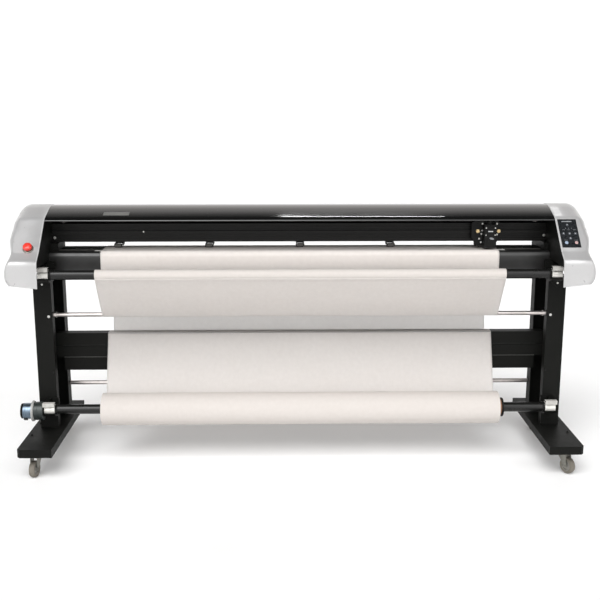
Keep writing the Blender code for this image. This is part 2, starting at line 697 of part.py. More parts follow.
# ---------------------------------------------------------------- take-up and supply
def bracket_outline(axis_yz, back_y):
    """Cradle behind and below a round journal, with a flap over it."""
    y, z = axis_yz
    r = JOURNAL_END_R + 0.001
    saddle = arc(axis_yz, r, 80, -150, 10)
    tip = arc(axis_yz, r + 0.006, -150, -100, 3)
    return ([(back_y, z + 0.036), (y - 0.030, z + 0.036), (y - 0.030, z + 0.020),
             (y - 0.026, z + 0.020), (y - 0.026, z + 0.031), (saddle[0][0], z + 0.031)]
            + saddle + tip + [(y + 0.014, z - 0.038), (back_y, z - 0.038)])


def make_rolls():
    back_y = LEG_Y[0] - GAP
    for name, axis_yz, (inner, outer) in (("takeup", TAKEUP_YZ, TAKEUP_BRACKET_X),
                                          ("supply", SUPPLY_YZ, SUPPLY_BRACKET_X)):
        outline = bracket_outline(axis_yz, back_y)
        y, z = axis_yz
        for side, word in ((-1, "left"), (1, "right")):
            bracket = prism(f"{word}_{name}_bracket", outline, *sorted((side * inner, side * outer)))
            opening = box("opening", sorted((side * (inner - 0.001), side * (outer - ARM_WIDTH))),
                          (y - 0.026, back_y - ARM_ROOT), (z + 0.008, z + 0.040))
            cut(bracket, opening)
            if name == "takeup":
                web = [(inner, -0.030), (outer, -0.030), (outer, -0.072), (outer - 0.009, -0.072)]
                web = [(side * x, z + height) for x, height in web]
                union(bracket, prism("gusset", web, y + 0.028, y + 0.032, along_y))
            paint(bracket, BLACK_METAL)

    def bar(name, axis_yz, radius, inner, outer):
        profile = [(-outer, JOURNAL_END_R), (-inner, JOURNAL_END_R), (-inner, radius),
                   (inner, radius), (inner, JOURNAL_END_R), (outer, JOURNAL_END_R)]
        return paint(turned(name, profile, segments=28, location=(0, *axis_yz)), BLACK_METAL)

    bar("takeup_bar", TAKEUP_YZ, TAKEUP_R, 1.120, 1.166)
    bar("supply_shaft", SUPPLY_YZ, BAR_R, 1.134, 1.182)

    axis = (0, *SUPPLY_YZ)
    paint(turned("supply_paper_roll", [(-PAPER_HALF, ROLL_R), (PAPER_HALF, ROLL_R)],
                 segments=48, bore=BAR_R + GAP, location=axis), PAPER)
    start = PAPER_HALF + GAP
    paint(turned("core_flange",
                 [(start, 0.037), (start + 0.014, 0.037), (start + 0.014, 0.044),
                  (start + 0.022, 0.044)],
                 segments=28, bore=BAR_R + GAP, location=axis), BLACK_PLASTIC)

    face = -SUPPLY_BRACKET_X[1] - GAP
    paint(turned("supply_motor",
                 [(-NOSE_OUT_X, 0.033), (-NOSE_OUT_X + 0.004, 0.037), (face - 0.052, 0.037),
                  (face - 0.052, 0.046), (face - 0.046, 0.048), (face - 0.038, 0.048),
                  (face - 0.038, 0.042), (face, 0.042)],
                 segments=32, location=(0, SUPPLY_YZ[0], SUPPLY_YZ[1] - MOTOR_DROP)), BLACK_PLASTIC)


def tangent_points(point, centre, radius, side):
    """Where a line from a point touches a circle; side picks the one of the two."""
    to_centre = Vector(centre) - Vector(point)
    turn = math.asin(radius / to_centre.length) * side
    run = Matrix.Rotation(turn, 2) @ to_centre.normalized()
    return Vector(point) + run * math.sqrt(to_centre.length_squared - radius ** 2)


def paper_strip(name, points):
    """A strip of the paper web; the points run along its underside."""
    line = [Vector(p) for p in points]
    paint(prism(name, thick_outline(line, PAPER_THICK, -1.0), -PAPER_HALF, PAPER_HALF), PAPER)


def make_paper():
    """The web: supply roll, crossbeam, lower rod, platen, apron, upper rod, take-up bar."""
    over = GAP + PAPER_THICK
    beam_top = CROSSBEAM_Z[1] + GAP
    crest = (CROSSBEAM_Y[0] - 0.0008, beam_top - 0.0002)
    low = tangent_points(crest, SUPPLY_YZ, ROLL_R + 0.002, 1)
    low_end = low + (Vector(crest) - low) * 0.02
    paper_strip("supply_sheet", [low_end, crest, (CROSSBEAM_Y[0] + 0.002, beam_top + 0.0002),
                                 (CROSSBEAM_Y[1] + 0.0006, beam_top)])

    wrap = arc(LOWER_ROD_YZ, ROD_R + over, 175, 365, 8)
    top = (CROSSBEAM_Y[1] + 0.0030, beam_top - 0.004)
    guide = (GUIDE_END[0] + GAP, GUIDE_END[1] + 0.001)
    paper_strip("rear_sheet", [top] + wrap + [(guide[0] + PAPER_THICK, guide[1] - 0.002)])

    guide_y, guide_z = GUIDE_END
    reach_y, reach_z = guide_y - PLATEN_Y[1], PLATEN_Z - guide_z
    back = [(PLATEN_Y[1] + (reach_y + GAP) * math.sin(a), guide_z + (reach_z + GAP) * math.cos(a))
            for a in (math.pi / 2 * k / 8 for k in range(8, -1, -1))]
    centre = (APRON_Y + APRON_RADIUS, PLATEN_Z - APRON_RADIUS)
    front = arc(centre, APRON_RADIUS + GAP, 90, 180, 5)
    line = [Vector(p) for p in back + front + [(APRON_Y - GAP, APRON_BOTTOM_Z)]]
    paint(prism("table_sheet", thick_outline(line, PAPER_THICK, 1.0), -PAPER_HALF, PAPER_HALF),
          PAPER)

    wrap = arc(UPPER_ROD_YZ, ROD_R + over, 360, 215, 6)
    rise = tangent_points(wrap[-1], TAKEUP_YZ, TAKEUP_R + GAP + PAPER_THICK, 1)
    start = (APRON_Y - GAP, APRON_BOTTOM_Z - 0.001)
    line = [Vector(p) for p in [start] + wrap]
    end = Vector(rise) + (line[-1] - Vector(rise)) * 0.01
    line.append(end)
    paint(prism("front_sheet", thick_outline(line, PAPER_THICK, 1.0), -PAPER_HALF, PAPER_HALF),
          PAPER)


# ---------------------------------------------------------------- controls
def on_slope(centre, x, y, height):
    """A point given in the tilted face's own directions."""
    offset = Matrix.Rotation(SLOPE, 3, "X") @ Vector((x, y, height))
    return Vector(centre) + offset


def make_controls():
    width, height, depth = PANEL_SIZE
    proud = 0.001
    panel = box("control_panel", (-width / 2, width / 2), (-height / 2, height / 2),
                (proud - depth, proud), location=PANEL_CENTRE, rotation=(SLOPE, 0, 0))
    keys = {
        "key_up": (-0.002, 0.046, 0.0065), "key_left": (-0.026, -0.002, 0.0065),
        "key_enter": (0.001, -0.002, 0.0065), "key_right": (0.027, -0.002, 0.0065),
        "key_down": (0.001, -0.029, 0.0065), "key_pause": (-0.020, -0.052, 0.0075),
        "key_stop": (0.024, -0.052, 0.0075),
    }
    pocket_floor = proud - 0.0042
    pockets = []
    for name, (x, y, radius) in keys.items():
        place = on_slope(PANEL_CENTRE, x, y, 0)
        pockets.append(turned("pocket", [(pocket_floor, radius + GAP), (0.02, radius + GAP)], "Z", 16,
                              location=place, rotation=(SLOPE, 0, 0)))
        paint(turned(name, [(pocket_floor + KEY_TRAVEL + GAP, radius), (proud + 0.0006, radius),
                            (proud + 0.0012, radius - 0.001)],
                     "Z", 16, location=place, rotation=(SLOPE, 0, 0)), KEY)
    paint(cut(panel, *pockets), PANEL)

    paint(turned("estop_button",
                 [(-0.018, 0.0105), (0.009, 0.0105), (0.009, 0.0165), (0.012, 0.0200),
                  (0.018, 0.0200), (0.023, 0.0170), (0.026, 0.0100)],
                 "Z", 28, location=STOP_CENTRE, rotation=(SLOPE, 0, 0)), RED)

    inlet_y = 0.2870
    supply = box("electronics_box", (1.166, 1.240), (0.020, 0.262), (0.885, 1.080))
    spout = box("spout", (1.182, 1.228), (0.250, inlet_y), (0.912, 0.948))
    union(supply, spout)
    socket = box("socket", (1.189, 1.221), (inlet_y - 0.016, inlet_y + 0.01), (0.918, 0.942))
    paint(cut(supply, socket), BLACK_PLASTIC)


clear_scene()
make_stand()
make_casters()
make_covers()
make_side_plates()
make_beam()
make_platen()
make_feed()
make_carriage()
make_rolls()
make_paper()
make_controls()
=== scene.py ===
import json
import math

import bmesh
import bpy
from mathutils import Matrix, Vector

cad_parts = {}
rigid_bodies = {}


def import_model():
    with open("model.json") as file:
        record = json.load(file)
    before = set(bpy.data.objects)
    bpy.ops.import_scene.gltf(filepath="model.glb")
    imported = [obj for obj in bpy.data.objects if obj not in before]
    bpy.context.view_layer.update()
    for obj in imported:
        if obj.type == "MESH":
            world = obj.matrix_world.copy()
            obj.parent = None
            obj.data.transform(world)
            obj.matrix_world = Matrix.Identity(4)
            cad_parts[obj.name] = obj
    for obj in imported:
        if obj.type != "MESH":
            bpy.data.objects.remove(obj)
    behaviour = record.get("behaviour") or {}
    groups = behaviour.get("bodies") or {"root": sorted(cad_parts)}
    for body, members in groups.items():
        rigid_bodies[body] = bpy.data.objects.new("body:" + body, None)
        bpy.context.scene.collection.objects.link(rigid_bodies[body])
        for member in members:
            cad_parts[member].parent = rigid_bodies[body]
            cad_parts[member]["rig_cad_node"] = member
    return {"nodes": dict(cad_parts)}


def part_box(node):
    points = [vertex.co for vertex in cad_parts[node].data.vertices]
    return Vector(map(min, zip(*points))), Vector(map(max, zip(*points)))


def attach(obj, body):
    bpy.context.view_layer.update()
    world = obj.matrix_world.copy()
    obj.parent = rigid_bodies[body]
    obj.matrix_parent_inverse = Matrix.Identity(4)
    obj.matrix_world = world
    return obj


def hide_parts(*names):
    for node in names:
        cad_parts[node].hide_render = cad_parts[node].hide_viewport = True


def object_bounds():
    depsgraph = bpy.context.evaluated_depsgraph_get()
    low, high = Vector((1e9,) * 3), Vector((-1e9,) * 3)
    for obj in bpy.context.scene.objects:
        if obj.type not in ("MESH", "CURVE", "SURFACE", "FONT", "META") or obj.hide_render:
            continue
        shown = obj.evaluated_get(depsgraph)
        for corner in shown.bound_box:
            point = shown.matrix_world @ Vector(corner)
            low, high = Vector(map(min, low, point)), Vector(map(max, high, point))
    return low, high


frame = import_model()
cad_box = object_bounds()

# Looks of the wide-format roll printer cutter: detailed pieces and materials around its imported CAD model.
# Frame: X to the operator's right, Y from the operator's side to the back, Z up, in metres.

NODES = frame["nodes"]

# ---- design sizes, as in the CAD model unless a note says otherwise
COVER_CORNERS = (            # (y, z, corner radius) from the nose over the crest to the back
    (-0.275, 0.859, 0.0),
    (-0.265, 0.972, 0.034),  # rounder here than the CAD covers
    (-0.215, 1.008, 0.050),
    (-0.080, 1.143, 0.060),
    (0.060, 1.194, 0.200),
    (0.225, 1.165, 0.070),
    (0.280, 1.060, 0.090),
    (0.292, 0.859, 0.0),
)
COVER_BOTTOM_Z = 0.859
COVER_IN_X = 1.145
COVER_WALL = 0.004
NOSE_OUT_X = 1.290
WAIST_OUT_X = 1.268
UPPER_OUT_X = 1.288
NOSE_FADE = (1.020, 0.918)   # heights between which the outer side swells to the nose width
UPPER_FADE = (1.000, 1.075)  # and to the upper width
TUCK_FROM_Z = 0.906          # below this the outer side curves inward
TUCK_HEIGHT = 0.051
BOTTOM_TUCK = 0.026
BOTTOM_LIFT = 0.016          # the bottom rim is higher at the outer side
SLOPE = math.radians(45)
PANEL_CENTRE = Vector((1.1955, -0.1442, 1.0788))
PANEL_SIZE = (0.083, 0.156)
PANEL_PROUD = 0.001
STOP_CENTRE = Vector((-1.1935, -0.1992, 1.0238))
TAKEUP_YZ = (-0.163, 0.900)
SUPPLY_YZ = (-0.123, 0.262)
MOTOR_DROP = 0.007           # the gearmotor sits lower than the shaft it drives
UPPER_ROD_YZ = (-0.033, 0.690)
LOWER_ROD_YZ = (0.181, 0.297)
ROD_R = 0.010
GUIDE_END = (0.275, 0.900)
GUIDE_START_Y = 0.132        # where the rear paper guide leaves the table
APRON_CENTRE = (-0.005, 0.958)
APRON_RADIUS = 0.024
PLATEN_Z = 0.982
TAKEUP_R = 0.0215
SHAFT_R = 0.0225
BORE_R = 0.0228              # of what slides on the supply shaft
WRAP = 0.0025                # paper already wound on the take-up bar
PAPER_THICK = 0.0006
PAPER_GAP = 0.0008           # from a surface to the middle of the paper on it
TOOL_X = 0.874
TOOL_Y = 0.0125
CASTER_X = 1.198
CASTER_Y = 0.266
CASTER_HEADINGS = {"front_left": 170.0, "front_right": -150.0, "rear_left": 0.0, "rear_right": 0.0}
TYRE_R = 0.0375
CASTER_TRAIL = 0.022


# ---- materials
class Nodes:
    """Short calls that add and join the nodes of one tree."""

    def __init__(self, tree):
        self.tree = tree

    def add(self, kind, inputs=None, **values):
        """A new node, with values for its inputs and its properties by name."""
        node = self.tree.nodes.new(kind)
        for key, value in values.items():
            setattr(node, key, value)
        for key, value in (inputs or {}).items():
            node.inputs[key].default_value = value
        return node

    def link(self, start, end):
        self.tree.links.new(start, end)

    def range(self, value, low, high, start=0.0, end=1.0, **values):
        limits = {"From Min": low, "From Max": high, "To Min": start, "To Max": end}
        node = self.add("ShaderNodeMapRange", limits, **values)
        self.link(value, node.inputs["Value"])
        return node.outputs["Result"]

    def mix(self, factor, first, second):
        node = self.add("ShaderNodeMix", data_type="RGBA")
        self.link(factor, node.inputs["Factor"])
        for socket, value in zip(node.inputs[6:8], (first, second)):
            if isinstance(value, tuple):
                socket.default_value = (*value, 1.0)
            else:
                self.link(value, socket)
        return node.outputs[2]

    def maths(self, operation, first, second=0.0):
        node = self.add("ShaderNodeMath", operation=operation)
        for socket, value in zip(node.inputs, (first, second)):
            if isinstance(value, (int, float)):
                socket.default_value = value
            else:
                self.link(value, socket)
        return node.outputs[0]

    def vector_maths(self, operation, first, second=None):
        node = self.add("ShaderNodeVectorMath", operation=operation)
        self.link(first, node.inputs[0])
        if second:
            node.inputs[1].default_value = second
        return node.outputs["Value" if operation == "DOT_PRODUCT" else "Vector"]

    def separate(self, vector):
        node = self.add("ShaderNodeSeparateXYZ")
        self.link(vector, node.inputs[0])
        return node.outputs


class Surface(Nodes):
    """A procedural material: a Principled shader and the nodes that feed it."""

    def __init__(self, name, metallic=0.0, coat=0.0, specular=0.5):
        self.mat = bpy.data.materials.new(name)
        self.mat.use_nodes = True
        super().__init__(self.mat.node_tree)
        self.shader = self.tree.nodes["Principled BSDF"]
        self.set(Metallic=metallic, Coat_Weight=coat, Specular_IOR_Level=specular)
        self.coords = self.add("ShaderNodeTexCoord").outputs["Object"]

    def set(self, **values):
        """Set or link the shader's inputs, with _ for each space in a name."""
        for key, value in values.items():
            socket = self.shader.inputs[key.replace("_", " ")]
            if isinstance(value, bpy.types.NodeSocket):
                self.link(value, socket)
            else:
                socket.default_value = value

    def noise(self, scale, detail=3.0, stretch=(1, 1, 1)):
        mapping = self.add("ShaderNodeMapping", {"Scale": stretch})
        node = self.add("ShaderNodeTexNoise", {"Scale": scale, "Detail": detail})
        self.link(self.coords, mapping.inputs["Vector"])
        self.link(mapping.outputs["Vector"], node.inputs["Vector"])
        return node.outputs["Fac"]

    def cells(self, scale):
        node = self.add("ShaderNodeTexVoronoi", {"Scale": scale})
        self.link(self.coords, node.inputs["Vector"])
        return node.outputs["Distance"]

    def bump(self, height, depth, strength=1.0):
        node = self.add("ShaderNodeBump", {"Strength": strength, "Distance": depth})
        self.link(height, node.inputs["Height"])
        self.set(Normal=node.outputs["Normal"])


def plain_surface(name, dark, light, rough, cloud=6.0, grain=700.0, depth=0.00008, metallic=0.0,
                  coat=0.0, specular=0.5, worn=None):
    """Moulded or coated surface: soft clouds in colour and roughness, fine grain, worn edges."""
    s = Surface(name, metallic, coat, specular)
    colour = s.mix(s.range(s.noise(cloud, 5.0), 0.35, 0.65), dark, light)
    if worn:
        edges = s.add("ShaderNodeNewGeometry").outputs["Pointiness"]
        patches = s.range(s.noise(45.0), 0.45, 0.62, 0.15, 0.9)
        colour = s.mix(s.maths("MULTIPLY", s.range(edges, 0.53, 0.62), patches), colour, worn)
    s.set(Base_Color=colour, Roughness=s.range(s.noise(cloud * 5, 4.0), 0.3, 0.7, *rough))
    s.bump(s.noise(grain, 2.0), depth)
    return s.mat


def print_surface(name, dark, light, rough=(0.30, 0.42)):
    """Key caps and printed marks."""
    return plain_surface(name, dark, light, rough, cloud=60.0, grain=1500.0, depth=0.00002)


def brushed_surface(name, dark, light, rough, stretch):
    """Bare metal with fine lines along one direction."""
    s = Surface(name, metallic=1.0)
    lines = s.noise(1.0, 6.0, stretch)
    streaks = s.maths("MULTIPLY", lines, s.noise(9.0, 4.0))
    s.set(Base_Color=s.mix(s.range(streaks, 0.15, 0.35), dark, light),
          Roughness=s.range(lines, 0.3, 0.7, *rough))
    s.bump(lines, 0.00004)
    return s.mat


def silver_surface():
    """Silver paint on plastic: metal flakes under a satin finish, faint handling marks."""
    s = Surface("cover_silver_paint", metallic=0.30, coat=0.10)
    flakes = s.cells(520.0)
    base = s.mix(s.range(s.noise(5.0, 5.0), 0.35, 0.65), (0.385, 0.380, 0.378), (0.415, 0.412, 0.412))
    s.set(Base_Color=s.mix(s.range(flakes, 0.1, 0.8, 0.0, 0.25), base, (0.54, 0.54, 0.55)),
          Roughness=s.range(s.noise(30.0, 4.0), 0.3, 0.7, 0.27, 0.40), Coat_Roughness=0.12)
    s.bump(flakes, 0.00002, 0.3)
    return s.mat


def gloss_surface():
    """Polished black acrylic with faint wipe marks and dust."""
    s = Surface("hood_gloss_black", coat=0.6, specular=0.7)
    dust = s.range(s.noise(260.0, 2.0), 0.70, 0.80, 0.0, 0.35)
    wipes = s.noise(4.0, 6.0, (0.35, 2.0, 2.0))
    s.set(Base_Color=s.mix(dust, (0.0030, 0.0031, 0.0030), (0.020, 0.020, 0.019)),
          Roughness=s.range(wipes, 0.35, 0.7, 0.045, 0.10), Coat_Roughness=0.04)
    s.bump(s.noise(14.0, 2.0), 0.0002, 0.15)
    return s.mat


def paper_surface(name, shade=1.0, thin=False, rings=False):
    """Uncoated warm white paper: long fibres, cloudy formation, soft cockle. Thin paper lets light
    through where it hangs free below the table. Rings are the edges of the turns on a roll's end."""
    s = Surface(name, specular=0.25)
    if thin:
        thinness = s.range(s.separate(s.coords)["Z"], 0.86, 0.95, 0.5, 0.1)
        s.set(Subsurface_Weight=thinness, Subsurface_Radius=(1.0, 0.97, 0.93), Subsurface_Scale=0.02)
    formation = s.noise(55.0, 5.0)
    fibres = s.noise(1.0, 3.0, (260.0, 900.0, 900.0))
    # shade paints the same paper lighter or darker: painted light and shade that sets how bright each piece
    # looks under the lamps.
    dark, light, fibre = [tuple(c * shade for c in colour) for colour in
                          ((0.530, 0.494, 0.467), (0.552, 0.516, 0.489), (0.500, 0.468, 0.440))]
    base = s.mix(s.range(formation, 0.3, 0.7), dark, light)
    s.set(Base_Color=s.mix(s.range(fibres, 0.55, 0.75, 0.0, 0.35), base, fibre),
          Roughness=s.range(formation, 0.3, 0.7, 0.78, 0.92))
    s.bump(s.maths("ADD", s.noise(9.0, 2.0), s.maths("MULTIPLY", fibres, 0.05)), 0.0012, 0.35)
    if rings:
        parts = s.separate(s.vector_maths("SUBTRACT", s.coords, (0.0, *SUPPLY_YZ)))
        squares = s.maths("ADD", s.maths("POWER", parts["Y"], 2.0), s.maths("POWER", parts["Z"], 2.0))
        wave = s.maths("SINE", s.maths("MULTIPLY", s.maths("SQRT", squares), 3600.0))
        layers = s.maths("MULTIPLY", s.range(wave, -1.0, 1.0), s.noise(160.0, 2.0))
        s.set(Base_Color=s.mix(s.range(layers, 0.2, 0.55, 0.0, 0.8), (0.56, 0.52, 0.48),
                               (0.36, 0.32, 0.28)))
    return s.mat


POWDER = plain_surface(
    "powder_coat_black", (0.0066, 0.0068, 0.006), (0.0074, 0.0075, 0.0068), (0.46, 0.52), grain=650.0,
    depth=0.0001, specular=0.08)
GLOSS = gloss_surface()
SATIN = plain_surface(
    "apron_satin_black", (0.0075, 0.0072, 0.007), (0.0085, 0.0082, 0.008), (0.28, 0.34), grain=480.0,
    depth=0.00003, specular=0.7)
SILVER = silver_surface()
BLACK_PLASTIC = plain_surface(
    "moulded_black_plastic", (0.0065, 0.0065, 0.0062), (0.008, 0.008, 0.0076), (0.4, 0.48),
    grain=1100.0, depth=0.00006, specular=0.14)
ANODISED = plain_surface(
    "anodised_black", (0.0072, 0.007, 0.0064), (0.0082, 0.008, 0.0074), (0.36, 0.42), grain=1800.0,
    depth=0.00003, specular=0.16)
STEEL = brushed_surface(
    "turned_steel", (0.42, 0.39, 0.37), (0.6, 0.56, 0.54), (0.24, 0.38), (40.0, 900.0, 900.0))
ZINC = plain_surface(
    "zinc_plated_steel", (0.5, 0.49, 0.46), (0.66, 0.66, 0.64), (0.26, 0.42), cloud=24.0, grain=420.0,
    depth=0.00005, metallic=1.0)
CAST = plain_surface(
    "cast_aluminium", (0.66, 0.65, 0.61), (0.78, 0.77, 0.73), (0.36, 0.5), cloud=30.0, grain=520.0,
    depth=0.00012, metallic=0.5)
BRASS = plain_surface(
    "brass", (0.55, 0.42, 0.22), (0.72, 0.56, 0.32), (0.22, 0.35), cloud=60.0, grain=900.0,
    depth=0.00003, metallic=1.0)
FORK = plain_surface(
    "fork_passivated_zinc", (0.16, 0.155, 0.135), (0.24, 0.235, 0.21), (0.34, 0.5), cloud=40.0,
    grain=500.0, depth=0.00006, metallic=0.8)
BAR_COAT = plain_surface(
    "bar_black_enamel", (0.007, 0.007, 0.0066), (0.0085, 0.0085, 0.008), (0.22, 0.28), grain=900.0,
    depth=0.00004, specular=0.35)
TYRE = plain_surface(
    "grey_rubber_tyre", (0.12, 0.108, 0.086), (0.15, 0.136, 0.112), (0.6, 0.78), cloud=40.0,
    grain=800.0, depth=0.0001)
HUB = plain_surface(
    "wheel_hub_plastic", (0.17, 0.165, 0.15), (0.22, 0.21, 0.19), (0.36, 0.5), cloud=50.0, grain=900.0,
    depth=0.00006)
ROLLER_RUBBER = plain_surface(
    "pinch_roller_rubber", (0.06, 0.058, 0.054), (0.085, 0.082, 0.076), (0.6, 0.78), cloud=40.0,
    grain=900.0)
BELT = plain_surface(
    "belt_rubber", (0.01, 0.01, 0.01), (0.018, 0.018, 0.017), (0.6, 0.75), cloud=30.0, grain=900.0,
    specular=0.3)
GEAR_GREY = plain_surface(
    "dark_green_grey_casting", (0.022, 0.028, 0.027), (0.038, 0.045, 0.043), (0.32, 0.46), cloud=30.0,
    grain=520.0, depth=0.0001, metallic=0.3)
# Painted light and shade: the web and the wound rolls are the same paper, with the web's colour 1.22 times
# and the rolls' 0.95 times as light.
PAPER = paper_surface("plotter_paper", 1.22, thin=True)
ROLL_PAPER = paper_surface("plotter_paper_wound", 0.95)
BADGE = plain_surface(
    "badge_satin_grey", (0.1, 0.1, 0.095), (0.13, 0.13, 0.125), (0.35, 0.45), grain=900.0,
    depth=0.00003)
PAPER_EDGES = paper_surface("plotter_paper_roll_end", rings=True)
CARD = plain_surface(
    "core_cardboard", (0.22, 0.105, 0.058), (0.32, 0.17, 0.1), (0.75, 0.9), cloud=60.0, grain=500.0,
    depth=0.0002)
RED = plain_surface(
    "signal_red_plastic", (0.56, 0.02, 0.012), (0.66, 0.036, 0.022), (0.22, 0.34), cloud=30.0,
    grain=900.0, depth=0.00004, coat=0.3)
FILM = plain_surface(
    "panel_film", (0.0085, 0.01, 0.0115), (0.0125, 0.014, 0.016), (0.24, 0.34), cloud=20.0,
    grain=1500.0, depth=0.00002, specular=0.35)
KEY = print_surface("key_grey", (0.04, 0.046, 0.056), (0.055, 0.062, 0.074))
KEY_BLUE = print_surface("key_blue_white", (0.26, 0.34, 0.46), (0.34, 0.42, 0.54))
KEY_RED = print_surface("key_red_white", (0.46, 0.28, 0.27), (0.54, 0.36, 0.34))
WHITE_MARK = print_surface("white_mark", (0.66, 0.67, 0.68), (0.78, 0.79, 0.8), (0.4, 0.5))
GREY_MARK = print_surface("grey_mark", (0.2, 0.21, 0.22), (0.27, 0.28, 0.29), (0.4, 0.5))
MOTOR_BAND = brushed_surface(
    "motor_band", (0.09, 0.12, 0.16), (0.22, 0.28, 0.34), (0.3, 0.42), (900.0, 60.0, 60.0))
CUT_STRIP = plain_surface("cutting_strip_grey", (0.085, 0.08, 0.076), (0.12, 0.112, 0.105), (0.5, 0.6))
PALE_RING = plain_surface("pale_enamel", (0.28, 0.28, 0.27), (0.36, 0.36, 0.35), (0.3, 0.4))
# Pale grey painted highlight for the covers' inner edges.
EDGE_HIGHLIGHT = plain_surface("painted_edge_highlight", (0.4, 0.4, 0.4), (0.46, 0.46, 0.46), (0.35, 0.45))
FLAP = plain_surface(
    "flap_cream_enamel", (0.42, 0.41, 0.385), (0.5, 0.49, 0.465), (0.34, 0.44), cloud=40.0, grain=600.0,
    worn=(0.3, 0.29, 0.27))
# Light grey painted highlight for the edge of the crossbeam's step.
STEP_HIGHLIGHT = plain_surface("painted_step_highlight", (0.1, 0.1, 0.095), (0.14, 0.14, 0.13), (0.4, 0.5), metallic=0.4)


# ---- mesh tools
def placed(name, data):
    """A new object in the scene."""
    obj = bpy.data.objects.new(name, data)
    bpy.context.scene.collection.objects.link(obj)
    return obj


def from_bmesh(name, bm):
    mesh = bpy.data.meshes.new(name)
    bm.to_mesh(mesh)
    bm.free()
    return placed(name, mesh)


def mm(*points, origin=(0.0, 0.0)):
    """Points in metres from points in millimetres, counted from an origin in metres."""
    return [(u if callable(u) else origin[0] + u / 1000, origin[1] + v / 1000) for u, v in points]


def hexagon(flat):
    """Radius of a hexagon, half as wide as flat across its flats, at each angle."""
    def radius(angle):
        turn = (angle + math.pi / 6) % (math.pi / 3) - math.pi / 6
        return flat / 2 / math.cos(turn)
    return radius


def cross(arm, waist):
    """Radius of a cross-shaped recess at each angle."""
    def radius(angle):
        turn = (angle + math.pi / 4) % (math.pi / 2) - math.pi / 4
        return waist + (arm - waist) * max(0.0, 1 - abs(turn) / 0.35) ** 0.5
    return radius


def skin_rows(bm, rows):
    """Faces between rows of vertices."""
    for first, second in zip(rows, rows[1:]):
        for k in range(len(first) - 1):
            bm.faces.new((first[k], first[k + 1], second[k + 1], second[k]))


class Shape:
    """A mesh being built in the row frame, from turned and extruded shapes."""

    def __init__(self):
        self.bm = bmesh.new()

    def joined(self, rings, material, closed=False):
        """Faces between rings of points, with a cap on both ends unless closed."""
        rings = [[self.bm.verts.new(point) for point in ring] for ring in rings]
        pairs = list(zip(rings, rings[1:]))
        faces = []
        if closed:
            pairs.append((rings[-1], rings[0]))
        else:
            faces += [self.bm.faces.new(rings[0][::-1]), self.bm.faces.new(rings[-1])]
        for first, second in pairs:
            for k in range(len(first)):
                n = (k + 1) % len(first)
                faces.append(self.bm.faces.new((first[k], first[n], second[n], second[k])))
        for face in faces:
            face.material_index = material
        return self

    def turned(self, profile, matrix, segments=48, material=0, closed=False):
        """Turn (radius, height) points about local Z; closed joins the last ring to the first."""
        rings = []
        for radius, height in profile:
            ring = []
            for k in range(segments):
                angle = 2 * math.pi * k / segments
                r = radius(angle) if callable(radius) else radius
                ring.append(matrix @ Vector((r * math.cos(angle), r * math.sin(angle), height)))
            rings.append(ring)
        return self.joined(rings, material, closed)

    def extruded(self, outline, low, high, matrix, material=0):
        """Extrude a closed (u, v) outline along local Z."""
        rings = [[matrix @ Vector((u, v, w)) for u, v in outline] for w in (low, high)]
        return self.joined(rings, material)

    def block(self, low, high, material=0, matrix=Matrix.Identity(4)):
        outline = [(low[0], low[1]), (high[0], low[1]), (high[0], high[1]), (low[0], high[1])]
        return self.extruded(outline, low[2], high[2], matrix, material)

    def slab(self, half_u, half_v, ends, matrix, material=0):
        """A block centred on local Z."""
        return self.block((-half_u, -half_v, ends[0]), (half_u, half_v, ends[1]), material, matrix)

    def as_object(self, name):
        bmesh.ops.recalc_face_normals(self.bm, faces=self.bm.faces)
        return from_bmesh(name, self.bm)

    def made(self, name, body, *materials, slot, replaces=(), bevel=0.0, segments=2, smooth=40):
        """Turn the shape into a named piece that rides on a body."""
        obj = self.as_object(name)
        for mat in materials:
            obj.data.materials.append(mat)
        soften(obj, bevel, segments, smooth)
        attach(obj, body)
        if replaces:
            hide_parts(*replaces)
        return obj


def soften(obj, bevel, segments=2, smooth=40):
    """Smooth shading with crisp corners, and rounded edges where bevel isn't 0."""
    if bevel:
        mod = obj.modifiers.new("Edges", "BEVEL")
        mod.width = bevel
        mod.segments = segments
        mod.limit_method = "ANGLE"
        mod.angle_limit = math.radians(35)
        mod.harden_normals = True
    if "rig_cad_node" not in obj:
        obj.data.shade_smooth()
        obj.data.set_sharp_from_angle(angle=math.radians(smooth))


ALONG_X = Matrix(((0, 0, 1, 0), (1, 0, 0, 0), (0, 1, 0, 0), (0, 0, 0, 1)))   # (u, v, w) to (w, u, v)
UPRIGHT = Matrix(((1, 0, 0, 0), (0, 0, -1, 0), (0, 1, 0, 0), (0, 0, 0, 1)))  # (u, v, w) to (u, -w, v)
FRONT = (0, -1, 0)


def at(x, y, z):
    return Matrix.Translation((x, y, z))


def axle(centre_yz):
    """Frame with local Z along an X axis through (y, z)."""
    return at(0, *centre_yz) @ ALONG_X


def facing(direction):
    """Rotation that turns local Z to a direction."""
    return Vector(direction).to_track_quat("Z", "Y").to_matrix().to_4x4()


def part_turn(k, count, axis="Z"):
    """Rotation by k of count equal parts of a full turn."""
    return Matrix.Rotation(2 * math.pi * k / count, 4, axis)


def span(side, near, far):
    """Low and high end of a stretch from near to far on one side of the middle."""
    return sorted((side * near, side * far))


def arc(centre, radius, start, end, steps):
    """Points of a circular arc, angles in degrees, both ends included."""
    angles = [math.radians(start + (end - start) * k / steps) for k in range(steps + 1)]
    return [Vector((centre[0] + radius * math.cos(a), centre[1] + radius * math.sin(a)))
            for a in angles]


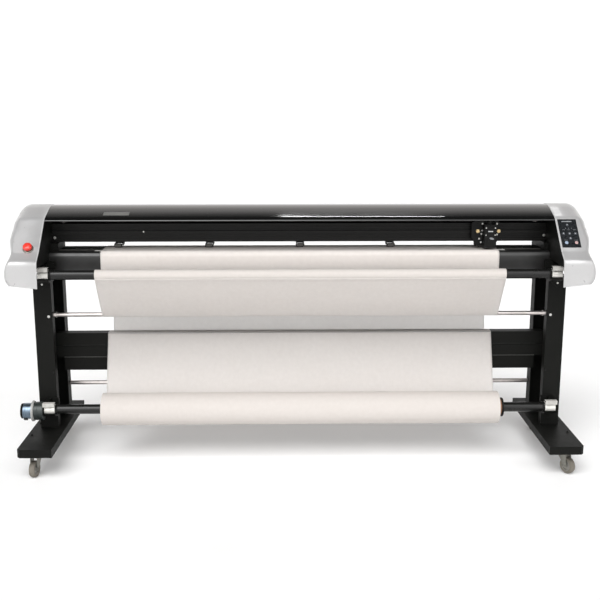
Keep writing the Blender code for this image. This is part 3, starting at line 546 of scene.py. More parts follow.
def rounded_path(corners, steps):
    """A polyline through (u, v, radius) corners with each inner corner rounded by an arc."""
    points = [Vector(corners[0][:2])]
    for before, corner, after in zip(corners, corners[1:], corners[2:]):
        here = Vector(corner[:2])
        back = (Vector(before[:2]) - here).normalized()
        ahead = (Vector(after[:2]) - here).normalized()
        half = back.angle(ahead) / 2
        reach = corner[2] / math.tan(half)
        centre = here + (back + ahead).normalized() * corner[2] / math.sin(half)
        first = here + back * reach - centre
        sweep = first.angle_signed(here + ahead * reach - centre)
        for k in range(steps + 1):
            points.append(centre + Matrix.Rotation(-sweep * k / steps, 2) @ first)
    points.append(Vector(corners[-1][:2]))
    return points


def resampled(points, spacing):
    """The same polyline with points no further apart than spacing."""
    result = [points[0]]
    for a, b in zip(points, points[1:]):
        count = max(1, math.ceil((b - a).length / spacing))
        result += [a.lerp(b, (k + 1) / count) for k in range(count)]
    return result


def path_normals(points, side=1.0):
    normals = []
    for i in range(len(points)):
        run = points[min(i + 1, len(points) - 1)] - points[max(i - 1, 0)]
        normals.append(side * Vector((run.y, -run.x)).normalized())
    return normals


def thick_outline(points, thickness, side=1.0):
    offset = [p + n * thickness for p, n in zip(points, path_normals(points, side))]
    return list(points) + offset[::-1]


def smoothstep(low, high, value):
    t = min(max((value - low) / (high - low), 0.0), 1.0)
    return t * t * (3 - 2 * t)


def rounded_rectangle(half_u, half_v, radius, steps=6):
    points = []
    for k, (su, sv) in enumerate(((1, 1), (-1, 1), (-1, -1), (1, -1))):
        centre = (su * (half_u - radius), sv * (half_v - radius))
        points += arc(centre, radius, 90 * k, 90 * k + 90, steps)
    return points


def dress(material, bevel, *names):
    """Give CAD nodes their material and rounded edges."""
    for name in names:
        node = NODES[name]
        node.data.materials.clear()
        node.data.materials.append(material)
        soften(node, bevel)


def frozen(obj, *cutters):
    """Cut the cutters from a piece and keep the result as its mesh."""
    for cutter in cutters:
        mod = obj.modifiers.new("Cut", "BOOLEAN")
        mod.operation = "DIFFERENCE"
        mod.object = cutter
    bpy.context.view_layer.update()
    graph = bpy.context.evaluated_depsgraph_get()
    mesh = bpy.data.meshes.new_from_object(obj.evaluated_get(graph))
    obj.modifiers.clear()
    obj.data = mesh
    for cutter in cutters:
        bpy.data.objects.remove(cutter, do_unlink=True)


def add_wall(obj, thickness, offset):
    """Give an open surface a thickness and keep the result as its mesh."""
    wall = obj.modifiers.new("Wall", "SOLIDIFY")
    wall.thickness = thickness
    wall.offset = offset
    frozen(obj)


def add_screw(shape, place, direction, radius, material=0, socket=False):
    """Pan head with a cross recess, or cap head with a hexagon socket, on a thin washer."""
    matrix = at(*place) @ facing(direction)
    washer = radius * 1.35
    rise = radius * (1.1 if socket else 0.75)
    recess = hexagon(radius) if socket else cross(radius * 0.62, radius * 0.18)
    floor = rise * 0.45
    shape.turned([(washer, 0.0), (washer, radius * 0.18), (radius, radius * 0.18),
                  (radius, rise * 0.72), (radius * 0.86, rise * 0.94), (radius * 0.68, rise),
                  (recess, rise), (recess, floor)], matrix, 24, material)


# ---- camera, light and floor
WALLS = ((0.31, (1.0, 1.0, 1.0)), (0.36, (0.90, 0.87, 0.85)))      # by sine of the elevation
SHADE_FROM = (0.31, 0.40)                # the dark parts start above this
CEILING_AXIS = (0.0, 0.14, 0.99)         # the dark ceiling lies over and behind the machine
CEILING_EDGE = (0.800, 0.830)            # cosine of the angle from that axis, seen from the side
CEILING_GREY = 0.04
SIDE_EDGE = (0.72, 0.96)                 # darker screens far to the left and right
SIDE_GREY = 0.30
FRONT_EDGE = (0.05, 0.55)                # a brighter wall behind the operator
FRONT_GREY = 1.55
WORLD_STRENGTH = 1.18


def aimed(obj, place, aim):
    obj.location = place
    obj.rotation_euler = (Vector(aim) - Vector(place)).to_track_quat("-Z", "Y").to_euler()


def make_world():
    """Pale studio walls, with a brighter front, darker sides and a dark ceiling."""
    world = bpy.data.worlds.new("studio")
    bpy.context.scene.world = world
    world.use_nodes = True
    n = Nodes(world.node_tree)
    direction = n.add("ShaderNodeTexCoord").outputs["Generated"]
    parts = n.separate(direction)
    ramp = n.add("ShaderNodeValToRGB")
    for element, (height, colour) in zip(ramp.color_ramp.elements, WALLS):
        element.position = height
        element.color = (*colour, 1.0)
    n.link(parts["Z"], ramp.inputs[0])

    def shaded(colour, value, edge, grey):
        """The colour, turning into a grey while the value rises across the edge."""
        return n.mix(n.range(value, *edge, interpolation_type="SMOOTHSTEP"), colour, (grey, grey, grey))

    lengthways = n.vector_maths("MULTIPLY", direction, (0.0, 1.0, 1.0))
    ceiling = n.vector_maths("DOT_PRODUCT", n.vector_maths("NORMALIZE", lengthways), CEILING_AXIS)
    front = n.maths("MULTIPLY", parts["Y"], -1.0)
    walls = shaded(ramp.outputs[0], front, FRONT_EDGE, FRONT_GREY)
    dark = shaded(walls, n.maths("ABSOLUTE", parts["X"]), SIDE_EDGE, SIDE_GREY)
    dark = shaded(dark, ceiling, CEILING_EDGE, CEILING_GREY)
    upper = n.range(parts["Z"], *SHADE_FROM, interpolation_type="SMOOTHSTEP")
    background = n.tree.nodes["Background"]
    n.link(n.mix(upper, walls, dark), background.inputs["Color"])
    background.inputs["Strength"].default_value = WORLD_STRENGTH


def make_stage():
    camera = placed("camera", bpy.data.cameras.new("camera"))
    camera.data.lens = 56.0
    camera.data.sensor_width = 36.0
    camera.location = (-0.074, -4.252, 1.669)
    camera.rotation_euler = (math.radians(77.78), 0.0, math.radians(-0.97))
    bpy.context.scene.camera = camera

    sun = bpy.data.lights.new("soft_sun", "SUN")
    sun.energy = 1.8
    sun.angle = math.radians(40)
    aimed(placed("soft_sun", sun), (-0.9, -3.0, 4.5), (0.0, 0.0, 0.6))

    strip = bpy.data.lights.new("strip_light", "AREA")
    strip.shape = "RECTANGLE"
    strip.size = 1.8
    strip.size_y = 0.12
    strip.energy = 24.0
    aimed(placed("strip_light", strip), (0.78, 3.85, 5.75), (0.26, -0.05, 1.16))

    make_world()
    bm = bmesh.new()
    bmesh.ops.create_grid(bm, x_segments=1, y_segments=1, size=40.0)
    floor = from_bmesh("studio_floor", bm)
    floor.location = (0.0, 0.0, cad_box[0].z)
    floor.data.materials.append(plain_surface("pale_floor", (0.93, 0.93, 0.93), (0.95, 0.95, 0.95),
                                              (0.75, 0.85), cloud=2.0, depth=0.00001, specular=0.1))
    bpy.context.scene.view_settings.view_transform = "Standard"


# ---- covers and hood
def cover_side_x(z):
    nose = smoothstep(*NOSE_FADE, z)
    upper = smoothstep(*UPPER_FADE, z)
    tuck = 1 - math.sqrt(1 - (max(TUCK_FROM_Z - z, 0.0) / TUCK_HEIGHT) ** 2)
    return (WAIST_OUT_X + nose * (NOSE_OUT_X - WAIST_OUT_X) + upper * (UPPER_OUT_X - WAIST_OUT_X)
            - tuck * BOTTOM_TUCK)


def cover_edge_radius(z):
    return 0.014 + 0.01 * smoothstep(0.99, 0.88, z) + 0.036 * smoothstep(1.0, 1.17, z)


def cover_rows(path):
    """Rows of points from the inner edge over the rounded edge and across the outer side."""
    inward = path_normals(path)
    inset = 0.0012
    rows = [[(COVER_IN_X, p.x + n.x * inset, p.y + n.y * inset) for p, n in zip(path, inward)],
            [(COVER_IN_X + inset, p.x, p.y) for p in path]]
    edge_steps = 12
    for k in range(edge_steps + 1):
        angle = math.pi / 2 * k / edge_steps
        row = []
        for p, n in zip(path, inward):
            r = cover_edge_radius(p.y)
            q = p + n * r * (1 - math.cos(angle))
            row.append((cover_side_x(p.y) - r * (1 - math.sin(angle)), q.x, q.y))
        rows.append(row)
    rim = rows[-1]
    side_steps = 28
    for k in range(1, side_steps + 1):
        t = k / side_steps
        row = []
        for i, (_, y, z) in enumerate(rim):
            y_base = rim[0][1] + (rim[-1][1] - rim[0][1]) * i / (len(rim) - 1)
            z_here = z + (COVER_BOTTOM_Z - z) * t
            row.append((cover_side_x(z_here), y + (y_base - y) * t, z_here))
        rows.append(row)
    return rows


def make_cover(name, side, *cutters):
    bm = bmesh.new()
    grid = []
    for row in cover_rows(resampled(rounded_path(COVER_CORNERS, 12), 0.008)):
        line = []
        for x, y, z in row:
            lift = BOTTOM_LIFT * (x - COVER_IN_X) / (NOSE_OUT_X - COVER_IN_X)
            low = smoothstep(COVER_BOTTOM_Z + 0.06, COVER_BOTTOM_Z, z)
            line.append(bm.verts.new((side * x, y, z + lift * low)))
        grid.append(line)
    skin_rows(bm, grid)
    if side > 0:
        bmesh.ops.reverse_faces(bm, faces=bm.faces)
    bmesh.ops.remove_doubles(bm, verts=bm.verts, dist=0.00005)
    bmesh.ops.dissolve_degenerate(bm, dist=0.00005, edges=bm.edges)
    cover = from_bmesh(name, bm)
    add_wall(cover, COVER_WALL, -1)
    frozen(cover, *cutters)
    cover.data.materials.clear()
    cover.data.materials.append(SILVER)
    soften(cover, 0.0, smooth=48)
    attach(cover, "root")
    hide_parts(name.replace("_shell", ""))


def sloped(centre):
    """Frame on the covers' tilted operating face: local X right, Y up the slope, Z out."""
    return Matrix.Translation(centre) @ Matrix.Rotation(SLOPE, 4, "X")


def make_covers():
    neck = Shape().turned([(0.0125, -0.03), (0.0125, 0.03)], sloped(STOP_CENTRE)).as_object("neck")
    make_cover("left_end_cover_shell", -1, neck)

    width, height = PANEL_SIZE
    window_outline = rounded_rectangle(width / 2 + 0.0003, height / 2 + 0.0003, 0.004)
    window = Shape().extruded(window_outline, -0.03, 0.03, sloped(PANEL_CENTRE)).as_object("window")
    inlet = Shape().block((1.178, 0.25, 0.908), (1.232, 0.32, 0.952)).as_object("inlet")
    make_cover("right_end_cover_shell", 1, window, inlet)

    # Painted highlight: a pale raised strip along each cover's inner edge, standing for the light caught by
    # the rounded edge.
    path = resampled(rounded_path(COVER_CORNERS, 12), 0.02)
    outline = thick_outline([p - n * 0.0008 for p, n in zip(path, path_normals(path))], 0.0015)
    for side, word in ((-1, "left"), (1, "right")):
        ends = span(side, COVER_IN_X + 0.0012, COVER_IN_X + 0.005)
        Shape().extruded(outline, *ends, ALONG_X).made(
            f"{word}_cover_edge_highlight_strip", "root", EDGE_HIGHLIGHT, slot="cover_silver", bevel=0.0004)


def make_hood():
    """Blow-moulded gloss hood: one smooth shell with a rolled lip at the front."""
    node_low, node_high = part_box("hood")
    path = rounded_path(COVER_CORNERS, 16)
    skin = [p + n * 0.0008 for p, n in zip(path, path_normals(path))]
    lip_y, rear_z = -0.1054, 1.002
    skin = [p for p in skin if p.x > lip_y and (p.y > rear_z or p.x < 0.1)]
    last = skin[-1]
    low = Vector(COVER_CORNERS[-1][:2])
    skin.append(last + (low - last) * (last.y - rear_z) / (last.y - low.y))
    wall = 0.003
    lip = skin[0]
    inner = [p + n * wall for p, n in zip(skin, path_normals(skin))]
    roll = arc((lip.x + 0.0035, lip.y - 0.0015), 0.0035, 135, 300, 10)
    outline = skin[1:] + inner[:0:-1] + [Vector((lip.x + 0.016, lip.y + 0.001)),
                                         Vector((lip.x + 0.016, lip.y - 0.002))] + roll[::-1]
    Shape().extruded(outline, node_low.x, node_high.x, ALONG_X).made(
        "hood_shell", "root", GLOSS, slot="gloss_black", replaces=["hood"], smooth=30)


def make_badge():
    """Blank satin plate on the hood's front slope, following its curve."""
    path = resampled(rounded_path(COVER_CORNERS, 24), 0.003)
    face = [p - n * 0.0004 for p, n in zip(path, path_normals(path)) if -0.058 < p.x < -0.026]
    Shape().extruded(thick_outline(face, 0.0012, -1.0), -0.889, -0.773, ALONG_X).made(
        "hood_blank_plate", "root", BADGE, slot="steel", bevel=0.0003)


# ---- paper
def tangent_point(point, centre, radius, side):
    """Where a line from a point touches a circle; side picks the one of the two."""
    to_centre = Vector(centre) - Vector(point)
    turn = math.asin(radius / to_centre.length) * side
    run = Matrix.Rotation(turn, 2) @ to_centre.normalized()
    return Vector(point) + run * math.sqrt(to_centre.length_squared - radius ** 2)


def paper_route(roll_r):
    """Middle line of the web in (y, z), from the supply roll round to the take-up bar."""
    half = 0.0005
    beam_low, beam_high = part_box("crossbeam")
    top = beam_high.z + half + 0.0002
    crest = Vector((beam_low.y + 0.001, top))
    route = [tangent_point(crest, SUPPLY_YZ, roll_r + half, 1), crest,
             Vector((beam_high.y - 0.001, top)), Vector((beam_high.y + 0.0015, top - 0.002))]
    route += arc(LOWER_ROD_YZ, ROD_R + PAPER_GAP, 175, 365, 24)
    reach_y = GUIDE_END[0] - GUIDE_START_Y + PAPER_GAP
    reach_z = PLATEN_Z - GUIDE_END[1] + PAPER_GAP
    for k in range(20, -1, -1):
        a = math.pi / 2 * k / 20
        route.append(Vector((GUIDE_START_Y + reach_y * math.sin(a),
                             GUIDE_END[1] + reach_z * math.cos(a))))
    route += arc(APRON_CENTRE, APRON_RADIUS + PAPER_GAP, 90, 180, 12)
    apron_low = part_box("apron")[0]
    route.append(Vector((apron_low.y - PAPER_GAP, apron_low.z)))
    route += arc(UPPER_ROD_YZ, ROD_R + PAPER_GAP, 360, 215, 18)
    route.append(tangent_point(route[-1], TAKEUP_YZ, TAKEUP_R + WRAP, 1))
    return route


def looseness(y, z):
    """0 where the web is pressed on something, 1 in the free spans."""
    if z > 0.9 and y > -0.04:
        return 0.0
    free = 1.0
    contacts = ((LOWER_ROD_YZ, 0.02), (UPPER_ROD_YZ, 0.02), (TAKEUP_YZ, 0.05), (SUPPLY_YZ, 0.1),
                ((0.1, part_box("crossbeam")[1].z), 0.04))
    for (cy, cz), reach in contacts:
        free *= smoothstep(reach, reach + 0.08, math.hypot(y - cy, z - cz))
    return free * (1.0 if z < 0.86 or y < -0.05 else 0.3)


def make_web(half_width, roll_r):
    """The free paper as one sheet, slightly wavy between the places that it rests on."""
    route = resampled(paper_route(roll_r), 0.012)
    columns = 160
    bm = bmesh.new()
    grid = []
    run = 0.0
    for i, (p, n) in enumerate(zip(route, path_normals(route, -1.0))):
        run += (p - route[i - 1]).length if i else 0.0
        loose = looseness(p.x, p.y)
        line = []
        for k in range(columns + 1):
            x = -half_width + 2 * half_width * k / columns
            wave = math.sin(x * 9.1 + run * 2.3) + 0.7 * math.sin(x * 17.3 - run * 4.1)
            wave += 0.5 * math.sin(x * 41.0 + run * 9.0) + 0.4 * math.sin(run * 31 + x * 3)
            offset = n * loose * 0.0011 * wave
            line.append(bm.verts.new((x, p.x + offset.x, p.y + offset.y)))
        grid.append(line)
    skin_rows(bm, grid)
    web = from_bmesh("paper_web", bm)
    web.data.materials.append(PAPER)
    web.data.shade_smooth()
    add_wall(web, PAPER_THICK, 0.0)
    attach(web, "root")
    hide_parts("supply_sheet", "rear_sheet", "table_sheet", "front_sheet")


def make_tube(name, body, centre, radii, ends, material):
    inner, outer = radii
    profile = [(inner, ends[0]), (outer, ends[0]), (outer, ends[1]), (inner, ends[1])]
    Shape().turned(profile, axle(centre), 64, closed=True).made(name, body, material, slot="paper")


def make_paper():
    low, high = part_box("supply_paper_roll")
    roll_r = (high.z - low.z) / 2
    make_web(high.x, roll_r)

    core_out = 0.03
    edge = 0.0008
    shift = 0.0006           # turns of the roll that stand proud
    steps = 10
    radii = [core_out + (roll_r - core_out) * k / steps for k in range(steps)] + [roll_r - edge]
    low_end = [(r, low.x + shift * ((k + 1) % 2)) for k, r in enumerate(radii)]
    high_end = [(r, high.x - shift * ((k + 1) % 2)) for k, r in enumerate(radii)]
    barrel = [(roll_r, low.x + edge + (high.x - low.x - 2 * edge) * k / 24) for k in range(25)]
    roll = Shape().turned(low_end + barrel + high_end[::-1], axle(SUPPLY_YZ), 120, closed=True)
    for face in roll.bm.faces:
        if not low.x + edge <= face.calc_center_median().x <= high.x - edge:
            face.material_index = 1
    roll.made("supply_paper_roll_wound", "supply", ROLL_PAPER, PAPER_EDGES, slot="paper",
              replaces=["supply_paper_roll"], smooth=50)
    make_tube("supply_roll_core", "supply", SUPPLY_YZ, (BORE_R, core_out - 0.0002),
              (low.x - 0.0002, high.x + 0.0002), CARD)
    make_tube("takeup_paper_wound", "takeup", TAKEUP_YZ,
              (TAKEUP_R + 0.0002, TAKEUP_R + WRAP - PAPER_THICK / 2), (low.x, high.x), ROLL_PAPER)


# ---- rolls, shafts and motor
def ring(shape, spans, centre_yz, material, segments=48):
    """Turned solid about an X axis from (x, radius) points."""
    profile = [(radius, x) for x, radius in spans]
    return shape.turned(profile, axle(centre_yz), segments, material)


def make_bars():
    """Take-up bar and supply shaft with silver journals and dark grip rings."""
    bars = (("takeup_bar", "takeup", TAKEUP_YZ, TAKEUP_R, 0.046),
            ("supply_shaft", "supply", SUPPLY_YZ, SHAFT_R, 0.048))
    for name, body, centre, radius, journal in bars:
        low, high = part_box(name)
        end = high.x
        inner = end - journal
        journal_r = (high.z - low.z) / 2
        bar = Shape()
        ring(bar, [(-inner, radius), (inner, radius)], centre, 0)
        groove = mm((-11, -0.4), (-1, -0.4), origin=(inner, journal_r))
        grip = [(inner - 0.012, radius), *groove, (inner, radius)]
        tip = mm((-0.5, -1.2), (1, 0), (18, 0), (19, -1), (21, -1), (22, 0), origin=(inner, journal_r))
        tip += mm((-2, 0), (0, -1.5), origin=(end, journal_r)) + [(end, 0.012), (end - 0.002, 0.011)]
        for s in (-1, 1):
            for profile, material in ((grip, 2), (tip, 1)):
                ring(bar, [(s * x, r) for x, r in profile], centre, material)
        bar.made(f"{name}_turned", body, BAR_COAT, CAST, BLACK_PLASTIC, slot="powder_black",
                 replaces=[name], smooth=35)


def make_core_flange():
    """Clamp hub and disc that press into the roll's core."""
    low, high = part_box("core_flange")
    bore, hub, disc = BORE_R, 0.037, (high.z - low.z) / 2
    step = low.x + 0.014
    flange = Shape()
    collar = [(bore, low.x), (hub - 0.001, low.x), (hub, low.x + 0.001), (hub, step + 0.001),
              (bore, step + 0.001)]
    plate = [(bore, step), (disc - 0.0012, step), (disc, step + 0.0012), (disc, high.x - 0.0012),
             (disc - 0.0012, high.x), *mm((34, 0), (33, -1.2), (30, -1.2), (29, 0), origin=(0, high.x)),
             (bore, high.x)]
    flange.turned(collar, axle(SUPPLY_YZ), 64, 1, closed=True)
    flange.turned(plate, axle(SUPPLY_YZ), 64, 0, closed=True)
    for k in range(3):
        spot = at(0, *SUPPLY_YZ) @ part_turn(k, 3, "X") @ Vector((high.x, 0.0, 0.0385))
        add_screw(flange, spot, (1, 0, 0), 0.0022, 2, socket=True)
    flange.made("core_flange_turned", "supply", BLACK_PLASTIC, CARD, ZINC, slot="black_plastic",
                replaces=["core_flange"], smooth=35)


def make_supply_motor():
    """Ribbed end bell, banded drum, pale ring and gearbox on one axis."""
    axis = (SUPPLY_YZ[0], SUPPLY_YZ[1] - MOTOR_DROP)
    low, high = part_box("supply_motor")
    drum = 0.0365
    band_end = high.x - 0.0515
    bell = mm((0, 30), (1.5, 34.5), origin=(low.x, 0))
    for k in range(3):
        rib_x = low.x + 0.0025 + 0.003 * k
        bell += mm((0, 35.2), (1.2, 35.2), (1.2, 33.5), (2.2, 33.5), origin=(rib_x, 0))
    bell += [(low.x + 0.012, 0.0352)]
    label = mm((11.5, -1), (12.5, 0), origin=(low.x, drum)) + [(band_end, drum)]
    flange = mm((-1, 47), (0, 48), (5, 48), (9, 45), origin=(band_end, 0))
    gearbox = mm((8.5, 39), (9.5, 39), (9.5, 42), (26.5, 42), (26.5, 40.5), (28.5, 40.5), (28.5, 42),
                 origin=(band_end, 0)) + mm((-1, 42), (0, 41), origin=(high.x, 0))
    motor = Shape()
    for material, profile in enumerate((bell, label, flange, gearbox)):
        ring(motor, profile, axis, material, 64)
    for k in range(4):
        spot = at(0, *axis) @ part_turn(k + 0.5, 4, "X") @ Vector((band_end - 0.001, 0.0, 0.0425))
        add_screw(motor, spot, (-1, 0, 0), 0.0022, 4, socket=True)
    plug = at(0, *axis) @ Matrix.Rotation(math.radians(150), 4, "X")
    motor.block((low.x + 0.014, -0.008, drum - 0.002), (low.x + 0.03, 0.008, drum + 0.006), 0, plug)
    motor.made("supply_motor_detailed", "root", BLACK_PLASTIC, MOTOR_BAND, PALE_RING, GEAR_GREY, ZINC,
               slot="black_plastic", replaces=["supply_motor"], smooth=35, bevel=0.0003, segments=1)


# ---- casters
def both_sides(half):
    """A (radius, height) profile mirrored to the other side of height 0."""
    return half + [(radius, -height) for radius, height in half[::-1]]


def make_fork(place, axis):
    """Ball race, pressed fork and axle bolt."""
    crown_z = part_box(f"caster_fork_{place}")[1].z
    crown = axis @ at(0, 0, crown_z)
    pin_z = TYRE_R - crown_z
    inside, outside = 0.0146, 0.0174
    fork = Shape()
    fork.turned(mm((21, 0), (22, -1), (22, -4.2), (20.5, -5.2), (19.6, -6.4), (20.5, -7.6),
                   (22.2, -8.6), (21.6, -11), (19, -16)), crown)
    cheek = [Vector((-0.02, -0.012)), Vector((0.023, -0.012))]
    cheek += arc((CASTER_TRAIL, pin_z), 0.0095, 10, -170, 14) + [Vector((-0.02, -0.027))]
    for s in (-1, 1):
        fork.extruded(cheek, *span(s, inside, outside), crown @ ALONG_X)
        bolt = crown @ at(s * outside, CASTER_TRAIL, pin_z) @ facing((s, 0, 0))
        fork.turned(mm((5.6, -0.2), (5.6, 0.6), (hexagon(0.0082), 0.6), (hexagon(0.0082), 2.6),
                       (3, 3.2), (2.8, 3.6)), bolt, 24)
    fork.block((-outside, -0.02, -0.016), (outside, 0.026, -0.0128), 0, crown)
    fork.turned([(0.0035, -0.017), (0.0035, 0.017)],
                crown @ at(0, CASTER_TRAIL, pin_z) @ facing((1, 0, 0)), 16)
    fork.made(f"caster_fork_{place}_pressed", f"caster_{place}", FORK, slot="steel",
              replaces=[f"caster_fork_{place}"], bevel=0.0006)


def make_wheel(place, axis):
    """Soft tyre on a ribbed hub."""
    hub = axis @ at(0, CASTER_TRAIL, TYRE_R) @ facing((1, 0, 0))
    tread = mm((24, -12), (32.5, -13), (35.2, -11.8), (36.8, -8.5), (37.5, -4))
    disc = mm((4.4, -13), (8.5, -13), (10, -8.5), (19, -6.5), (21.5, -11.5), (24.2, -11.5))
    wheel = Shape()
    wheel.turned(both_sides(tread), hub, 56, closed=True)
    wheel.turned(both_sides(disc), hub, 48, 1, closed=True)
    wheel.made(f"caster_wheel_{place}_tyred", f"wheel_{place}", TYRE, HUB, slot="grey_rubber",
               replaces=[f"caster_wheel_{place}"], smooth=35)


def make_casters():
    for place, degrees in CASTER_HEADINGS.items():
        x = CASTER_X if "right" in place else -CASTER_X
        y = -CASTER_Y if "front" in place else CASTER_Y
        axis = at(x, y, 0.0) @ Matrix.Rotation(math.radians(degrees), 4, "Z")
        make_fork(place, axis)
        make_wheel(place, axis)


# ---- carriage and feed
def make_side_plates():
    left = mm((802, 1112), (792, 1104), (792, 1036), (802, 1026), (802, 1020), (812, 1006), (846, 1003),
              (846, 1112))
    right = mm((903, 1112), (903, 1010), (911, 1016), (918, 1024), (926, 1040), (926, 1100),
               (916, 1112))
    facia = Shape()
    for plate in (left, right):
        facia.extruded(plate, -0.0298, -0.023, UPRIGHT)
    facia.made("carriage_side_plates", "carriage", BLACK_PLASTIC, slot="black_plastic", bevel=0.0012,
               segments=3)


def make_carriage():
    """Cover plates, screws, scale bar and clamp on the carriage."""
    make_side_plates()
    front = -0.008
    block = Shape()
    for z, half_u, half_v, radius, depth in ((1.064, 0.0262, 0.021, 0.003, 0.003),
                                             (1.0235, 0.024, 0.02, 0.004, 0.0045)):
        block.extruded(rounded_rectangle(half_u, half_v, radius), -0.0002, depth,
                       at(TOOL_X, front, z) @ facing(FRONT))
    for k in range(7):
        z = 1.0085 + 0.0042 * k
        block.block((TOOL_X - 0.018, front - 0.0053, z), (TOOL_X + 0.018, front - 0.004, z + 0.0018))
    block.made("tool_clamp_block", "carriage", BLACK_PLASTIC, slot="black_plastic", bevel=0.0008)

    marks = Shape()
    marks.block((TOOL_X - 0.0115, front - 0.0042, 1.067), (TOOL_X + 0.0105, front - 0.0025, 1.0712))
    marks.made("carriage_white_bar", "carriage", WHITE_MARK, slot="black_plastic", bevel=0.0004)
    badge = Shape()
    oval = [(0.0105 * math.cos(a), 0.0046 * math.sin(a))
            for a in (2 * math.pi * k / 32 for k in range(32))]
    tilt = Matrix.Rotation(math.radians(-14), 4, "Z")
    badge.extruded(oval, -0.0002, 0.0011,
                   at(TOOL_X + 0.006, front - 0.0045, 1.036) @ facing(FRONT) @ tilt)
    badge.made("carriage_oval_plate", "carriage", GREY_MARK, slot="black_plastic", bevel=0.0003)

    screws = Shape()
    deep = 0.023
    for x, z in ((0.8215, 1.066), (0.9185, 1.066)):
        add_screw(screws, (x, deep, z), FRONT, 0.0062)
    for x, z in ((0.839, 1.053), (0.9095, 1.052), (0.8285, 1.031), (0.8375, 1.014),
                 (0.842, 1.1), (0.909, 1.1), (0.842, 1.069)):
        add_screw(screws, (x, deep, z), FRONT, 0.003, 1)
    for x in (TOOL_X - 0.021, TOOL_X + 0.021):
        for z in (1.052, 1.085):
            add_screw(screws, (x, front - 0.003, z), FRONT, 0.0022, 1, socket=True)
    knob = at(TOOL_X + 0.0278, TOOL_Y, 1.052) @ facing((1, 0, 0))
    screws.turned(mm((3, 0), (3, 3), (6.2, 3), (6.2, 9), (5.2, 10)), knob, 24, 1)
    screws.made("carriage_screws", "carriage", BRASS, ZINC, slot="steel", smooth=35)


def make_tool():
    """Pen or knife in a knurled sleeve."""
    low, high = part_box("tool_holder")
    tool = Shape()
    place = at(TOOL_X, TOOL_Y, low.z)
    sleeve = mm((2.4, 3), (3, 4), (6, 8), (8.5, 9.5), (9, 12), (13.8, 14), (14, 15), (14, 118),
                (15.8, 118.2), (16.5, 119), (16.5, 125), (15.8, 126), (11, 126.2), (10.5, 129.5))
    tool.turned([(0.0003, 0.0), (0.001, 0.0035)], place, 16, 1)
    tool.turned(sleeve + [(0.009, high.z - low.z)], place, 40)
    for k in range(24):
        tool.block((0.016, -0.0007, 0.1195), (0.0168, 0.0007, 0.1245), 0, place @ part_turn(k, 24))
    tool.made("tool_holder_turned", "tool", BLACK_PLASTIC, STEEL, slot="black_plastic",
              replaces=["tool_holder"], smooth=35)


def make_pinch_brackets():
    """Flared saddle and pin clips where each pinch roller hangs from the lift bar."""
    half = mm((26, 4), (26, -14), (23.5, -19), (18.5, -24), (12, -33))
    outline = [(-x_off, z_off) for x_off, z_off in half] + half[::-1]
    for number in range(1, 6):
        low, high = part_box(f"pinch_roller_{number}")
        x = (low.x + high.x) / 2
        Shape().extruded(outline, 0.0095, 0.0112, at(x, 0.15, 1.03) @ UPRIGHT).made(
            f"pinch_bracket_{number}_saddle", "pinch_lift", BLACK_PLASTIC, slot="powder_black",
            bevel=0.0005)
        fittings = Shape()
        for side in (-1, 1):
            pin = at(x + side * 0.019, 0.085, (low.z + high.z) / 2) @ facing((side, 0, 0))
            fittings.turned(mm((4, 0), (4, 1.2), (3.2, 1.8)), pin, 20)
        fittings.made(f"pinch_bracket_{number}_clips", "pinch_lift", ZINC, slot="steel", smooth=35)


def make_beam_details():
    """Beam screws, a cutting strip beside the paper, and the paper edge clips."""
    screws = Shape()
    for x, y, z, radius in ((-1.138, 0.055, 1.035, 0.0052), (1.139, 0.055, 1.042, 0.0052),
                            (-0.725, 0.045, 1.064, 0.0026)):
        add_screw(screws, (x, y, z), FRONT, radius)
    screws.made("beam_end_screws", "root", ZINC, slot="steel", smooth=35)

    low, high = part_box("platen")
    strip = Shape()
    for start, end in ((low.x + 0.01, -0.92), (0.92, high.x - 0.03)):
        strip.block((start, 0.02, PLATEN_Z), (end, 0.034, PLATEN_Z + 0.0012))
    strip.made("cutting_strip", "root", CUT_STRIP, slot="powder_black", bevel=0.0003)

    clips = Shape()
    for side in (-1, 1):
        for near, far, bottom, top in ((0.891, 0.945, 0.0012, 0.0022), (0.919, 0.945, -0.0002, 0.0014)):
            start, end = span(side, near, far)
            clips.block((start, -0.002, PLATEN_Z + bottom), (end, 0.012, PLATEN_Z + top))
        add_screw(clips, (side * 0.935, 0.005, PLATEN_Z + 0.0021), (0, 0, 1), 0.0028)
    clips.made("paper_edge_clips", "root", ZINC, slot="steel", bevel=0.0003)


